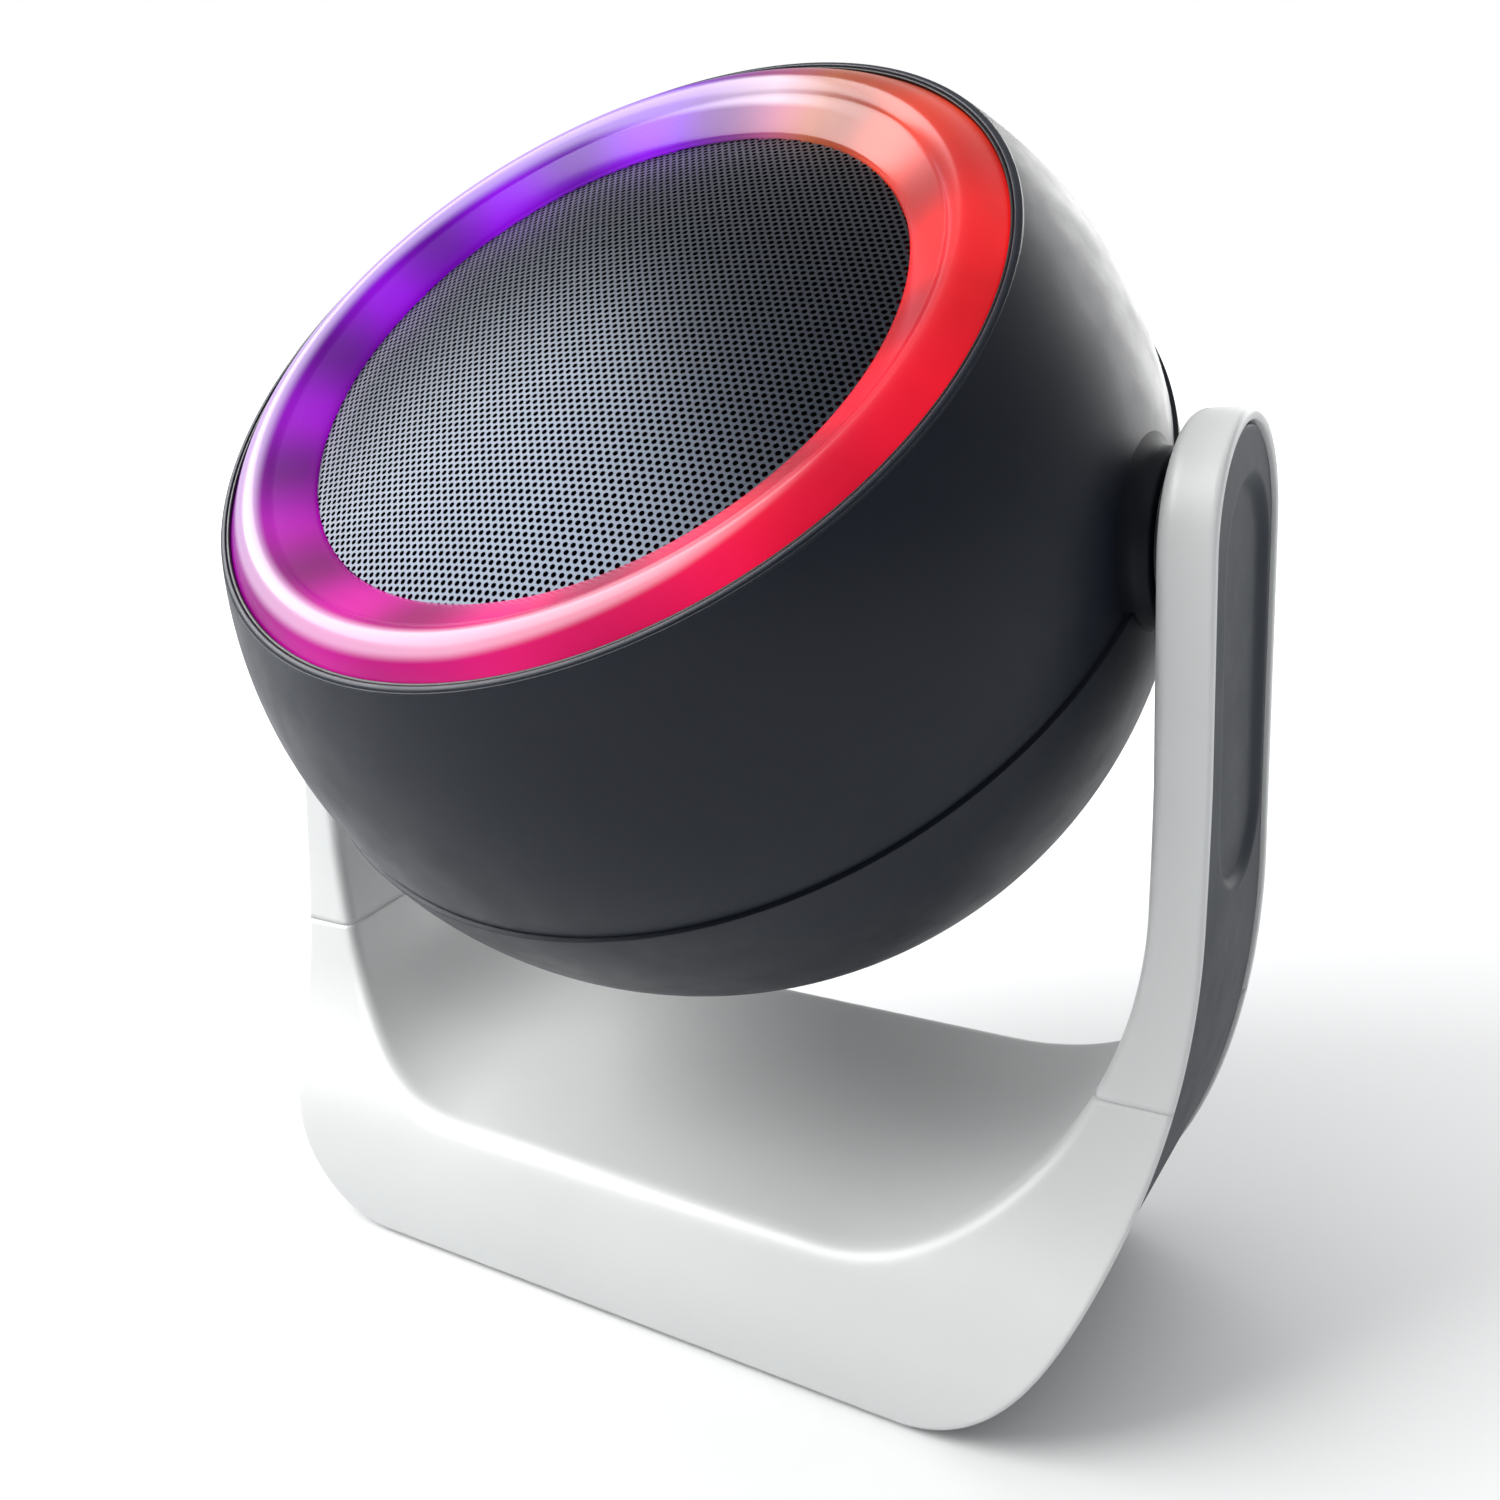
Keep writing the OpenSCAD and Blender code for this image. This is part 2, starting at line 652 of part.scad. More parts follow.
// Places square to the middle of the base's sloping top, at its surface
top_slope = atan((back_z - crease_z) / (arm_half - front_of(crease_z)));
module frame_spots() {
    translate([0, front_of(crease_z), crease_z]) rotate([top_slope, 0, 0])
        for (x = [-frame_screw_x, frame_screw_x])
            translate([x, -front_of(crease_z) / cos(top_slope), 0]) children();
}
module base_post(r) {
    for (x = [-post_x, post_x], y = post_y) translate([x, y, 0]) cylinder(r = r, h = far);
}
module base_shell() {
    color("#eceeee") difference() {
        union() {
            intersection() {
                white_band();
                slab(-1, split_z);
            }
            difference() {
                intersection() {
                    translate([0, 0, foot_z + cover_sink + cover_t]) base_post(base_post_r);
                    side_block(white_wall / 2);
                }
                opening_block(white_wall / 2);
            }
            frame_spots() translate([0, 0, -white_wall - frame_gap - frame_t])
                cylinder(r = 2.8, h = frame_gap + frame_t + 0.5);
        }
        intersection() { base_post(1.05); slab(0, foot_z + cover_sink + cover_t + 11); }
        frame_spots() translate([0, 0, -white_wall - 4]) cylinder(r = 1.05, h = 5);
    }
}
module yoke_strap() {
    difference() {
        opening_block(white_wall + frame_gap + frame_t);
        opening_block(white_wall + frame_gap);
    }
}
module yoke_frame() {
    color("#9aa0a6") difference() {
        union() {
            intersection() {
                yoke_strap();
                translate([-far / 2, -frame_half, 0]) cube([far, 2 * frame_half, pivot_h]);
            }
            for (s = [0, 1]) mirror([s, 0, 0]) at_pivot() {
                along_x(frame_in, frame_out, frame_end_r);
                for (a = [tilt_min - stop_lead, tilt_max + stop_lead]) rotate([a, 0, 0])
                    translate([0, 0, -stop_ring]) along_x(frame_out - 0.5, clip_out, stop_pin_r);
            }
        }
        for (s = [0, 1]) mirror([s, 0, 0]) {
            at_pivot() along_x(frame_in - 1, frame_out + 1, spindle_r + spindle_fit);
            x_holes(arm_screw_z, frame_in - 1, frame_out + 1, 3.1);
            x_holes(peg_z, frame_in - 1, frame_out + 1, 1.6);
        }
        frame_spots() translate([0, 0, -10]) cylinder(r = 3.1, h = 20);
    }
}
module cover() {
    color("#565c66") difference() {
        union() {
            intersection() {
                difference() {
                    outer_block(cover_sink);
                    outer_block(cover_sink + cover_t);
                }
                side_block(white_wall + cover_gap);
                translate([plate_half + part_gap, -far / 2, 0]) cube(far);
            }
            x_holes(peg_z, frame_in + 0.3, arm_out - cover_sink - 1, 1.5);
        }
        translate([0, pocket_y, 0]) {
            x_holes([pocket_low + pocket_r, pocket_top - pocket_r], arm_out - cover_sink - pocket_d,
                arm_out + 1, pocket_r);
            translate([arm_out - cover_sink - pocket_d, -pocket_r, pocket_low + pocket_r])
                cube([5, 2 * pocket_r, pocket_top - pocket_low - 2 * pocket_r]);
        }
    }
}
module right_cover() { cover(); }
module left_cover() { left() cover(); }
module arm_screws() {
    color("#8a8d92") for (s = [0, 1]) mirror([s, 0, 0]) {
        x_holes(arm_screw_z, frame_out + 0.05, frame_out + 0.9, 4);
        x_holes(arm_screw_z, arm_in + 1, frame_out + 0.6, 1);
    }
}
module frame_screws() {
    color("#8a8d92") frame_spots() {
        translate([0, 0, -white_wall - frame_gap - frame_t - 1.2]) cylinder(r = 4.2, h = 1.1);
        translate([0, 0, -white_wall - frame_gap - frame_t - 0.4]) cylinder(r = 1, h = 2.9);
    }
}
module bottom_plate() {
    low = foot_z + cover_sink;
    color("#2a2c31") difference() {
        intersection() {
            translate([-plate_half, -far / 2, low]) cube([2 * plate_half, far, cover_t]);
            side_block(white_wall + cover_gap);
        }
        intersection() { base_post(2.7); slab(0, low + 1); }
        base_post(1.3);
    }
}
module plate_screws() {
    low = foot_z + cover_sink;
    color("#8a8d92") for (x = [-post_x, post_x], y = post_y) translate([x, y, low]) {
        cylinder(r = 2.6, h = 0.9);
        cylinder(r = 1, h = cover_t + 9);
    }
}
module sole() {
    x = plate_half - 1;
    front = base_front - sole_inset;
    back = arm_half - 3;
    color("#17181a") linear_extrude(foot_z + cover_sink) union() {
        translate([-x, sole_round - front]) square([2 * x, front + back - 2 * sole_round]);
        translate([sole_round - x, -front]) square([2 * x - 2 * sole_round, front + back]);
        for (p = [[x - sole_round, sole_round - front], [sole_round - x, sole_round - front],
                [x - sole_round, back - sole_round], [sole_round - x, back - sole_round]])
            translate(p) circle(r = sole_round);
    }
}

front_shell();
rear_shell();
trim_ring();
light_ring();
ring_reflector();
lamp_board();
ring_lamps();
microphones();
grille();
baffle();
driver_gasket();
driver_basket();
driver_screws();
top_plate();
driver_magnet();
pole_piece();
voice_coil();
driver_cone();
dust_cap();
surround();
spider();
chassis();
battery_cells();
battery_wrap();
main_board();
board_parts();
rear_panel();
control_board();
tact_switches();
charge_socket();
power_button();
volume_up_button();
volume_down_button();
light_button();
shell_screws();
baffle_screws();
chassis_screws();
board_screws();
left_hub();
right_hub();
left_pivot_clip();
right_pivot_clip();
left_pivot_screw();
right_pivot_screw();
left_friction_washer();
right_friction_washer();
yoke_frame();
base_shell();
left_arm();
right_arm();
left_cover();
right_cover();
arm_screws();
frame_screws();
bottom_plate();
plate_screws();
sole();
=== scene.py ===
import json
import math
import bmesh
import bpy
import numpy as np
from mathutils import Matrix


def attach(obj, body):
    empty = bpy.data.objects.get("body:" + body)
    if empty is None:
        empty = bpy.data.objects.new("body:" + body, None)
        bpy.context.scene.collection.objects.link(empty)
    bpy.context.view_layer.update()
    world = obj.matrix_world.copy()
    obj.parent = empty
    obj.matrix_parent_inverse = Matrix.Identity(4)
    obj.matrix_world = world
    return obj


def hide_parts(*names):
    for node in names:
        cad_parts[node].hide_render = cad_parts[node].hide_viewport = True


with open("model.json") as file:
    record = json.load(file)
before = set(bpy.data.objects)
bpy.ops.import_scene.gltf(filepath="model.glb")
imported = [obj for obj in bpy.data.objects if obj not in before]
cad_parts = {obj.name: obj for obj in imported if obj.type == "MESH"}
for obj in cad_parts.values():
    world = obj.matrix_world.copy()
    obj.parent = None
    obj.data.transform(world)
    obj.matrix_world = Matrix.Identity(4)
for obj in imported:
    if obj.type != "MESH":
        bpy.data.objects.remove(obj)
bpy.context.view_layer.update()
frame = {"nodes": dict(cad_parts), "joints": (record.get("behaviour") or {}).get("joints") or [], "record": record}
nodes = frame["nodes"]
joints = {j["name"]: j for j in frame["joints"]}
mm = 0.001
pivotHeight = joints["head_tilt"]["pos_m"][2] / mm
travelAxis = joints["cone_travel"]["axis"]
lean = math.atan2(-travelAxis[1], travelAxis[2])
print("frame loaded, pivot at", round(pivotHeight, 2), "mm, lean", round(math.degrees(lean), 2))

# camera
cameraSetup = {
    "place": (0.121839, -0.178592, 0.143668),
    "right": (0.84685262, 0.52672961, -0.07346122),
    "up": (-0.09606632, 0.28736185, 0.95299235),
    "back": (0.52307924, -0.79998693, 0.29395412),
    "lens": 34.0,
}
cameraData = bpy.data.cameras.new("camera")
cameraData.lens = cameraSetup["lens"]
cameraData.sensor_width = 36.0
cameraData.clip_start = 0.01
camera = bpy.data.objects.new("camera", cameraData)
bpy.context.collection.objects.link(camera)
columns = np.array([cameraSetup["right"], cameraSetup["up"], cameraSetup["back"], cameraSetup["place"]])
camera.matrix_world = Matrix([[*map(float, row)] for row in columns.T] + [[0, 0, 0, 1]])
bpy.context.scene.camera = camera

# mesh helpers, all in millimetres


def fromFace(points):
    # ball's own frame (Z out of the grille) to the scene's: turn about X by the lean, then lift to the pivot
    c, s = math.cos(lean), math.sin(lean)
    x, y, z = points[..., 0], points[..., 1], points[..., 2]
    return np.stack([x, y * c - z * s, y * s + z * c + pivotHeight], -1)


def weld(points, faces):
    # points closer than a ten-thousandth of a millimetre become one, and faces that collapse are dropped
    keys = np.round(points / 1e-4).astype(np.int64)
    _, first, inverse = np.unique(keys, axis=0, return_index=True, return_inverse=True)
    inverse = inverse.ravel()
    kept = []
    for face in faces:
        ring = []
        for index in inverse[list(face)]:
            if not ring or ring[-1] != index:
                ring.append(int(index))
        if len(ring) > 1 and ring[0] == ring[-1]:
            ring.pop()
        if len(ring) > 2 and len(set(ring)) == len(ring):
            kept.append(ring)
    return points[first], kept


def gridFaces(rows, columnsCount, wrapRows=False, wrapColumns=False, start=0, flip=False):
    # quads of a rows by columns grid, optionally closed either way
    i = np.arange(rows if wrapRows else rows - 1)[:, None]
    j = np.arange(columnsCount if wrapColumns else columnsCount - 1)[None, :]
    i2, j2 = (i + 1) % rows, (j + 1) % columnsCount
    quad = np.stack(np.broadcast_arrays(i * columnsCount + j, i * columnsCount + j2,
                                        i2 * columnsCount + j2, i2 * columnsCount + j), -1)
    quad = quad.reshape(-1, 4) + start
    return (quad[:, ::-1] if flip else quad).tolist()


def makePiece(name, points, faces, body, stands=(), material=None, welded=True, smooth=True,
              turn=True):
    if welded:
        points, faces = weld(points, faces)
    mesh = bpy.data.meshes.new(name)
    mesh.from_pydata((points * mm).tolist(), [], faces)
    mesh.polygons.foreach_set("use_smooth", [smooth] * len(mesh.polygons))
    mesh.update()
    if turn:
        outward = bmesh.new()
        outward.from_mesh(mesh)
        bmesh.ops.recalc_face_normals(outward, faces=outward.faces)
        outward.to_mesh(mesh)
        outward.free()
    piece = bpy.data.objects.new(name, mesh)
    bpy.context.collection.objects.link(piece)
    if material:
        mesh.materials.append(material)
    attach(piece, body)
    if stands:
        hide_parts(*stands)
    return piece


def fillet(before, corner, after, radius, count):
    # rounded corner: quadratic curve from a point radius before the corner to one radius after it
    def toward(target):
        step = target - corner
        return corner + step * radius / np.maximum(np.linalg.norm(step, axis=-1, keepdims=True), 1e-9)
    a, b = toward(before), toward(after)
    t = np.linspace(0, 1, count)[:, None, None]
    return (1 - t) ** 2 * a + 2 * t * (1 - t) * corner + t ** 2 * b


def spun(profile, count=192):
    # profile of (radius, height) carried round the face's own Z axis
    turn = np.linspace(0, 2 * math.pi, count, endpoint=False)
    r, z = profile[:, 0][:, None], profile[:, 1][:, None]
    return np.stack([r * np.cos(turn), r * np.sin(turn), z + 0 * turn], -1)


def roundedProfile(corners, count=5):
    # closed outline of (radius, height, fillet) corners, each rounded by its own fillet
    corners = np.array(corners, float)
    points = []
    for k in range(len(corners)):
        before, corner, after = corners[k - 1, :2], corners[k, :2], corners[(k + 1) % len(corners), :2]
        if corners[k, 2] <= 0:
            points.append(corner)
            continue
        arc = fillet(before[None], corner[None], after[None], corners[k, 2], count)
        points.extend(arc[:, 0])
    return np.array(points)


# material helpers
def newMaterial(name, color, roughness, metallic=0.0, specular=0.5, coat=0.0, coatRoughness=0.1):
    material = bpy.data.materials.new(name)
    material.use_nodes = True
    tree = material.node_tree
    bsdf = tree.nodes["Principled BSDF"]
    bsdf.inputs["Base Color"].default_value = (*color, 1)
    bsdf.inputs["Roughness"].default_value = roughness
    bsdf.inputs["Metallic"].default_value = metallic
    bsdf.inputs["Specular IOR Level"].default_value = specular
    bsdf.inputs["Coat Weight"].default_value = coat
    bsdf.inputs["Coat Roughness"].default_value = coatRoughness
    return material, tree, bsdf


def node(tree, kind, **settings):
    made = tree.nodes.new(kind)
    for key, value in settings.items():
        if key in made.inputs:
            made.inputs[key].default_value = value
        else:
            setattr(made, key, value)
    return made


def noise(tree, scale, detail=3.0, roughness=0.6):
    coords = node(tree, "ShaderNodeTexCoord")
    made = node(tree, "ShaderNodeTexNoise", Scale=scale, Detail=detail, Roughness=roughness)
    tree.links.new(coords.outputs["Object"], made.inputs["Vector"])
    return made.outputs["Fac"]


def remap(tree, value, low, high, outLow, outHigh):
    made = node(tree, "ShaderNodeMapRange")
    for index, number in enumerate((low, high, outLow, outHigh)):
        made.inputs[index + 1].default_value = number
    tree.links.new(value, made.inputs[0])
    return made.outputs[0]


def mixColors(tree, factor, first, second):
    made = node(tree, "ShaderNodeMix", data_type="RGBA")
    for socket, value in ((made.inputs[0], factor), (made.inputs[6], first), (made.inputs[7], second)):
        if isinstance(value, (tuple, list)):
            socket.default_value = (*value, 1)
        elif isinstance(value, (int, float)):
            socket.default_value = value
        else:
            tree.links.new(value, socket)
    return made.outputs[2]


def bump(tree, bsdf, height, strength, distance=0.0001):
    made = node(tree, "ShaderNodeBump", Strength=strength, Distance=distance)
    tree.links.new(height, made.inputs["Height"])
    tree.links.new(made.outputs["Normal"], bsdf.inputs["Normal"])
    return made


def mouldedPlastic(name, color, lighter, roughness, grain=2500, grainStrength=0.08, spread=0.05, specular=0.5,
                   cloudScale=35.0):
    # moulded plastic: faint clouding of colour and gloss, and a fine spark-eroded grain
    material, tree, bsdf = newMaterial(name, color, roughness, specular=specular)
    cloud = noise(tree, cloudScale, 4.0)
    clouded = mixColors(tree, remap(tree, cloud, 0.3, 0.7, 0, 1), color, lighter)
    tree.links.new(clouded, bsdf.inputs["Base Color"])
    fine = noise(tree, grain, 2.0)
    gloss = remap(tree, noise(tree, cloudScale * 4, 5.0), 0.3, 0.7, roughness - spread, roughness + spread)
    tree.links.new(gloss, bsdf.inputs["Roughness"])
    bump(tree, bsdf, fine, grainStrength, 0.00005)
    return material


def metal(name, color, roughness, scratch=(900, 900, 60)):
    # turned or rolled metal: stretched noise gives its fine lines
    material, tree, bsdf = newMaterial(name, color, roughness, metallic=1.0)
    coords = node(tree, "ShaderNodeTexCoord")
    mapping = node(tree, "ShaderNodeMapping")
    mapping.inputs["Scale"].default_value = scratch
    lines = node(tree, "ShaderNodeTexNoise", Scale=1.0, Detail=4.0)
    tree.links.new(coords.outputs["Object"], mapping.inputs["Vector"])
    tree.links.new(mapping.outputs["Vector"], lines.inputs["Vector"])
    tree.links.new(remap(tree, lines.outputs["Fac"], 0.3, 0.7, roughness - 0.08, roughness + 0.1),
                   bsdf.inputs["Roughness"])
    bump(tree, bsdf, lines.outputs["Fac"], 0.05, 0.00003)
    return material


shellSatin = mouldedPlastic("shell satin charcoal", (0.0095, 0.0125, 0.0205), (0.0115, 0.0150, 0.0240), 0.42,
                            grain=4200, grainStrength=0.10, specular=0.25)
standSatin = mouldedPlastic("stand satin white", (0.70, 0.71, 0.705), (0.73, 0.74, 0.735), 0.40,
                            grain=3800, grainStrength=0.04, cloudScale=22.0)
coverSatin = mouldedPlastic("cover satin slate", (0.050, 0.056, 0.066), (0.058, 0.065, 0.076), 0.50,
                            specular=0.14, grain=4200, grainStrength=0.08)
bossPlastic = mouldedPlastic("boss dark plastic", (0.0075, 0.0095, 0.0145), (0.0095, 0.0120, 0.0180), 0.58,
                             specular=0.2)
buttonDark = mouldedPlastic("button dark", (0.030, 0.033, 0.041), (0.038, 0.041, 0.050), 0.35)
markPale = mouldedPlastic("button marks", (0.55, 0.56, 0.58), (0.62, 0.63, 0.65), 0.5)
trimBlack, trimTree, trimBsdf = newMaterial("trim gloss black", (0.006, 0.006, 0.007), 0.3, specular=0.2)
trimGloss = remap(trimTree, noise(trimTree, 400, 3.0), 0.3, 0.7, 0.28, 0.40)
trimTree.links.new(trimGloss, trimBsdf.inputs["Roughness"])

# finish of each slot; the light ring and the grille have their own further on
slotMaterials = {
    "shell_dark": shellSatin, "trim_black": trimBlack, "button_dark": buttonDark, "boss_dark": bossPlastic,
    "stand_white": standSatin, "cover_slate": coverSatin,
    "plate_dark": mouldedPlastic("base plate dark", (0.035, 0.039, 0.047), (0.045, 0.049, 0.058), 0.5),
    "panel_dark": mouldedPlastic("panel dark", (0.012, 0.013, 0.016), (0.017, 0.018, 0.022), 0.55,
                                 grainStrength=0.15),
    "inner_plastic": mouldedPlastic("inner black plastic", (0.014, 0.014, 0.016), (0.020, 0.020, 0.022), 0.6),
    "reflector_white": mouldedPlastic("reflector white", (0.80, 0.80, 0.80), (0.86, 0.86, 0.86), 0.5),
    "circuit_board": mouldedPlastic("circuit board", (0.010, 0.075, 0.030), (0.014, 0.10, 0.045), 0.35,
                                    cloudScale=260.0),
    "lamp_lens": mouldedPlastic("lamp lens", (0.85, 0.78, 0.45), (0.92, 0.88, 0.62), 0.2),
    "sole_rubber": mouldedPlastic("sole rubber", (0.012, 0.012, 0.013), (0.020, 0.020, 0.021), 0.75,
                                  grainStrength=0.3),
    "foam_black": mouldedPlastic("foam and rubber black", (0.010, 0.010, 0.010), (0.016, 0.016, 0.016), 0.8,
                                 grain=1800, grainStrength=0.4),
    "cone_paper": mouldedPlastic("cone paper", (0.020, 0.021, 0.024), (0.032, 0.033, 0.036), 0.8,
                                 grain=1200, grainStrength=0.5),
    "spider_cloth": mouldedPlastic("spider cloth", (0.45, 0.30, 0.10), (0.55, 0.38, 0.15), 0.85,
                                   grain=1500, grainStrength=0.6),
    "cell_wrap_blue": mouldedPlastic("cell wrap", (0.03, 0.12, 0.30), (0.04, 0.15, 0.36), 0.3),
    "battery_sleeve": mouldedPlastic("battery sleeve", (0.02, 0.025, 0.04), (0.03, 0.035, 0.05), 0.4),
    "washer_nylon": mouldedPlastic("nylon washer", (0.014, 0.015, 0.018), (0.020, 0.021, 0.024), 0.5),
    "ferrite": mouldedPlastic("ferrite", (0.025, 0.025, 0.027), (0.04, 0.04, 0.042), 0.55),
    "plated_steel": metal("plated steel", (0.55, 0.56, 0.57), 0.35),
    "small_metal": metal("screw steel", (0.60, 0.60, 0.60), 0.30),
    "copper_wire": metal("copper winding", (0.80, 0.42, 0.24), 0.35, scratch=(400, 400, 4000)),
}
print("plain materials made")

# light ring
ring = {
    "outer": 56.85, "inner": 44.0, "bottom": 33.1, "outerEdge": 37.3, "innerEdge": 36.0,
    "crease": 49.3, "creaseHeight": 38.8, "crest": 40.7,
    # lamp count and place, glow, dimming between lamps, and how pale the painted highlight band along the roll
    # turns
    "lamps": 12, "firstLamp": 15.0, "glow": 1.0, "between": 0.30, "milk": 0.66,
    # share of the glow that shows the single lamps, by place across the ring from the inner edge
    "inward": ((0.0, 0.55), (0.10, 0.9), (0.34, 1.0), (0.46, 0.75), (0.62, 0.25), (0.90, 0.25), (1.0, 0.35)),
    # colours round the face, by angle from the right-hand side, anticlockwise as seen from outside
    "colors": ((0, (1.0, 0.006, 0.014)), (25, (0.95, 0.016, 0.012)), (48, (0.78, 0.055, 0.016)),
               (68, (0.55, 0.13, 0.05)), (84, (0.36, 0.07, 0.30)), (98, (0.27, 0.004, 0.82)),
               (140, (0.27, 0.0, 0.78)), (175, (0.25, 0.0, 0.58)), (205, (0.31, 0.0, 0.50)),
               (232, (0.44, 0.001, 0.36)), (260, (0.72, 0.004, 0.36)), (290, (0.90, 0.008, 0.18)),
               (322, (0.98, 0.006, 0.05)), (360, (1.0, 0.006, 0.014))),
    # painted highlight band in place of reflections along the roll: middle across the ring, strength and half
    # width, by the same angle
    "bands": ((0, (0.45, 0.0, 0.10)), (30, (0.40, 0.0, 0.14)), (54, (0.38, 0.0, 0.12)),
              (66, (0.41, 0.18, 0.14)), (79, (0.45, 0.86, 0.18)), (94, (0.49, 0.60, 0.18)),
              (118, (0.58, 0.60, 0.19)), (165, (0.65, 0.66, 0.20)), (200, (0.66, 0.74, 0.21)),
              (240, (0.68, 0.76, 0.20)), (280, (0.70, 0.72, 0.17)), (310, (0.64, 0.45, 0.15)),
              (332, (0.56, 0.0, 0.12)), (360, (0.45, 0.0, 0.10))),
}


def rampOf(tree, value, stops):
    ramp = node(tree, "ShaderNodeValToRGB")
    elements = ramp.color_ramp.elements
    elements[0].position, elements[1].position = stops[0][0], stops[-1][0]
    elements[0].color, elements[1].color = (*stops[0][1], 1), (*stops[-1][1], 1)
    for place, color in stops[1:-1]:
        elements.new(place).color = (*color, 1)
    tree.links.new(value, ramp.inputs["Fac"])
    return ramp.outputs["Color"]


def maths(tree, operation, first, second=0.0, third=0.0):
    made = node(tree, "ShaderNodeMath", operation=operation)
    for socket, value in zip(made.inputs, (first, second, third)):
        if isinstance(value, (int, float)):
            socket.default_value = value
        else:
            tree.links.new(value, socket)
    return made.outputs[0]


def ringMaterial():
    # tinted lens over a lit trough: colour by angle, brighter over each lamp, and a painted highlight band along
    # the roll in place of reflections
    material, tree, bsdf = newMaterial("ring lens", (0.2, 0.03, 0.1), 0.24, specular=0.15, coat=0.10,
                                        coatRoughness=0.14)
    coords = node(tree, "ShaderNodeUVMap", uv_map="around")
    split = node(tree, "ShaderNodeSeparateXYZ")
    tree.links.new(coords.outputs["UV"], split.inputs[0])
    around, across = split.outputs["X"], split.outputs["Y"]
    color = rampOf(tree, around, [(angle / 360, shade) for angle, shade in ring["colors"]])
    phase = maths(tree, "MULTIPLY_ADD", around, 2 * math.pi * ring["lamps"],
                  -math.radians(ring["firstLamp"]) * ring["lamps"])
    lamp = remap(tree, maths(tree, "COSINE", phase), -1, 1, ring["between"], 1.0)
    inward = rampOf(tree, across, [(at, (level, 1 - level, 0)) for at, level in ring["inward"]])
    mixed = node(tree, "ShaderNodeSeparateColor")
    tree.links.new(inward, mixed.inputs[0])
    # the lamps show most on the inner slope; over the roll their light has spread
    spots = maths(tree, "MULTIPLY", lamp, mixed.outputs[0])
    spread = maths(tree, "MULTIPLY_ADD", mixed.outputs[1], 0.62, spots)
    glow = maths(tree, "MULTIPLY", spread, ring["glow"])
    cloudy = maths(tree, "MULTIPLY", glow, remap(tree, noise(tree, 70, 2.0), 0.3, 0.7, 0.9, 1.08))
    # painted highlight: a pale band along the roll, placed by angle and across the ring, standing in for
    # reflections of the room
    band = rampOf(tree, around, [(angle / 360, numbers) for angle, numbers in ring["bands"]])
    parts = node(tree, "ShaderNodeSeparateColor")
    tree.links.new(band, parts.inputs[0])
    offset = maths(tree, "ABSOLUTE", maths(tree, "SUBTRACT", across, parts.outputs[0]))
    nearness = maths(tree, "SUBTRACT", 1.0, maths(tree, "DIVIDE", offset, parts.outputs[2]))
    smooth = node(tree, "ShaderNodeMapRange", interpolation_type="SMOOTHSTEP")
    tree.links.new(nearness, smooth.inputs[0])
    smooth.inputs[1].default_value, smooth.inputs[2].default_value = 0.0, 0.5
    paintedHighlight = maths(tree, "MULTIPLY", smooth.outputs[0], parts.outputs[1])
    pale = mixColors(tree, ring["milk"], color, (0.92, 0.90, 1.0))
    lit = node(tree, "ShaderNodeMix", data_type="RGBA", blend_type="MULTIPLY")
    lit.inputs[0].default_value = 1.0
    tree.links.new(color, lit.inputs[6])
    tree.links.new(cloudy, lit.inputs[7])
    # the painted highlight band is mixed into the glow, so it shows the same from every side
    tree.links.new(mixColors(tree, paintedHighlight, lit.outputs[2], pale), bsdf.inputs["Emission Color"])
    bsdf.inputs["Emission Strength"].default_value = 1.0
    tree.links.new(mixColors(tree, 0.82, color, (0.01, 0.008, 0.012)), bsdf.inputs["Base Color"])
    return material


def ringProfile():
    # inner bevel from the grille's edge up to the crease, then a roll whose height is a skewed half sine
    climb = (ring["creaseHeight"] - ring["innerEdge"]) * np.linspace(0, 1, 14) ** 0.8
    bevel = np.stack([np.linspace(ring["inner"], ring["crease"], 14), ring["innerEdge"] + climb], -1)
    t = np.linspace(0, 1, 34)
    base = ring["creaseHeight"] + (ring["outerEdge"] - ring["creaseHeight"]) * t ** 1.6
    height = base + (ring["crest"] - ring["creaseHeight"]) * np.sin(math.pi * t ** 0.85)
    roll = np.stack([ring["crease"] + (ring["outer"] - ring["crease"]) * t, height], -1)
    low = np.array([[ring["outer"], ring["bottom"]], [ring["inner"], ring["bottom"]]])
    return np.concatenate([bevel, roll[1:], low])


def makeRing(count=288):
    profile = ringProfile()
    turn = np.linspace(0, 2 * math.pi, count + 1)
    r, z = profile[:, 0][:, None], profile[:, 1][:, None]
    grid = np.stack([r * np.cos(turn), r * np.sin(turn), z + 0 * turn], -1)
    rows = len(profile)
    faces = gridFaces(rows, count + 1, wrapRows=True, flip=True)
    points = fromFace(grid).reshape(-1, 3)
    mesh = bpy.data.meshes.new("lightRing")
    # the last column repeats the first, so that the angle runs on to a full turn; it is joined below
    joined = np.array(faces)
    column = joined % (count + 1)
    joinedFaces = np.where(column == count, joined - count, joined)
    mesh.from_pydata((points * mm).tolist(), [], joinedFaces.tolist())
    loops = joined.ravel()
    across = np.clip((profile[:, 0] - ring["inner"]) / (ring["outer"] - ring["inner"]), 0, 1)
    uv = np.stack([(loops % (count + 1)) / count, across[loops // (count + 1)]], -1)
    layer = mesh.uv_layers.new(name="around")
    layer.data.foreach_set("uv", uv.ravel())
    mesh.polygons.foreach_set("use_smooth", [True] * len(mesh.polygons))
    mesh.update()
    piece = bpy.data.objects.new("lightRing", mesh)
    bpy.context.collection.objects.link(piece)
    mesh.materials.append(ringMaterial())
    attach(piece, "head")
    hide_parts("light_ring")
    return piece


makeRing()
print("light ring made")

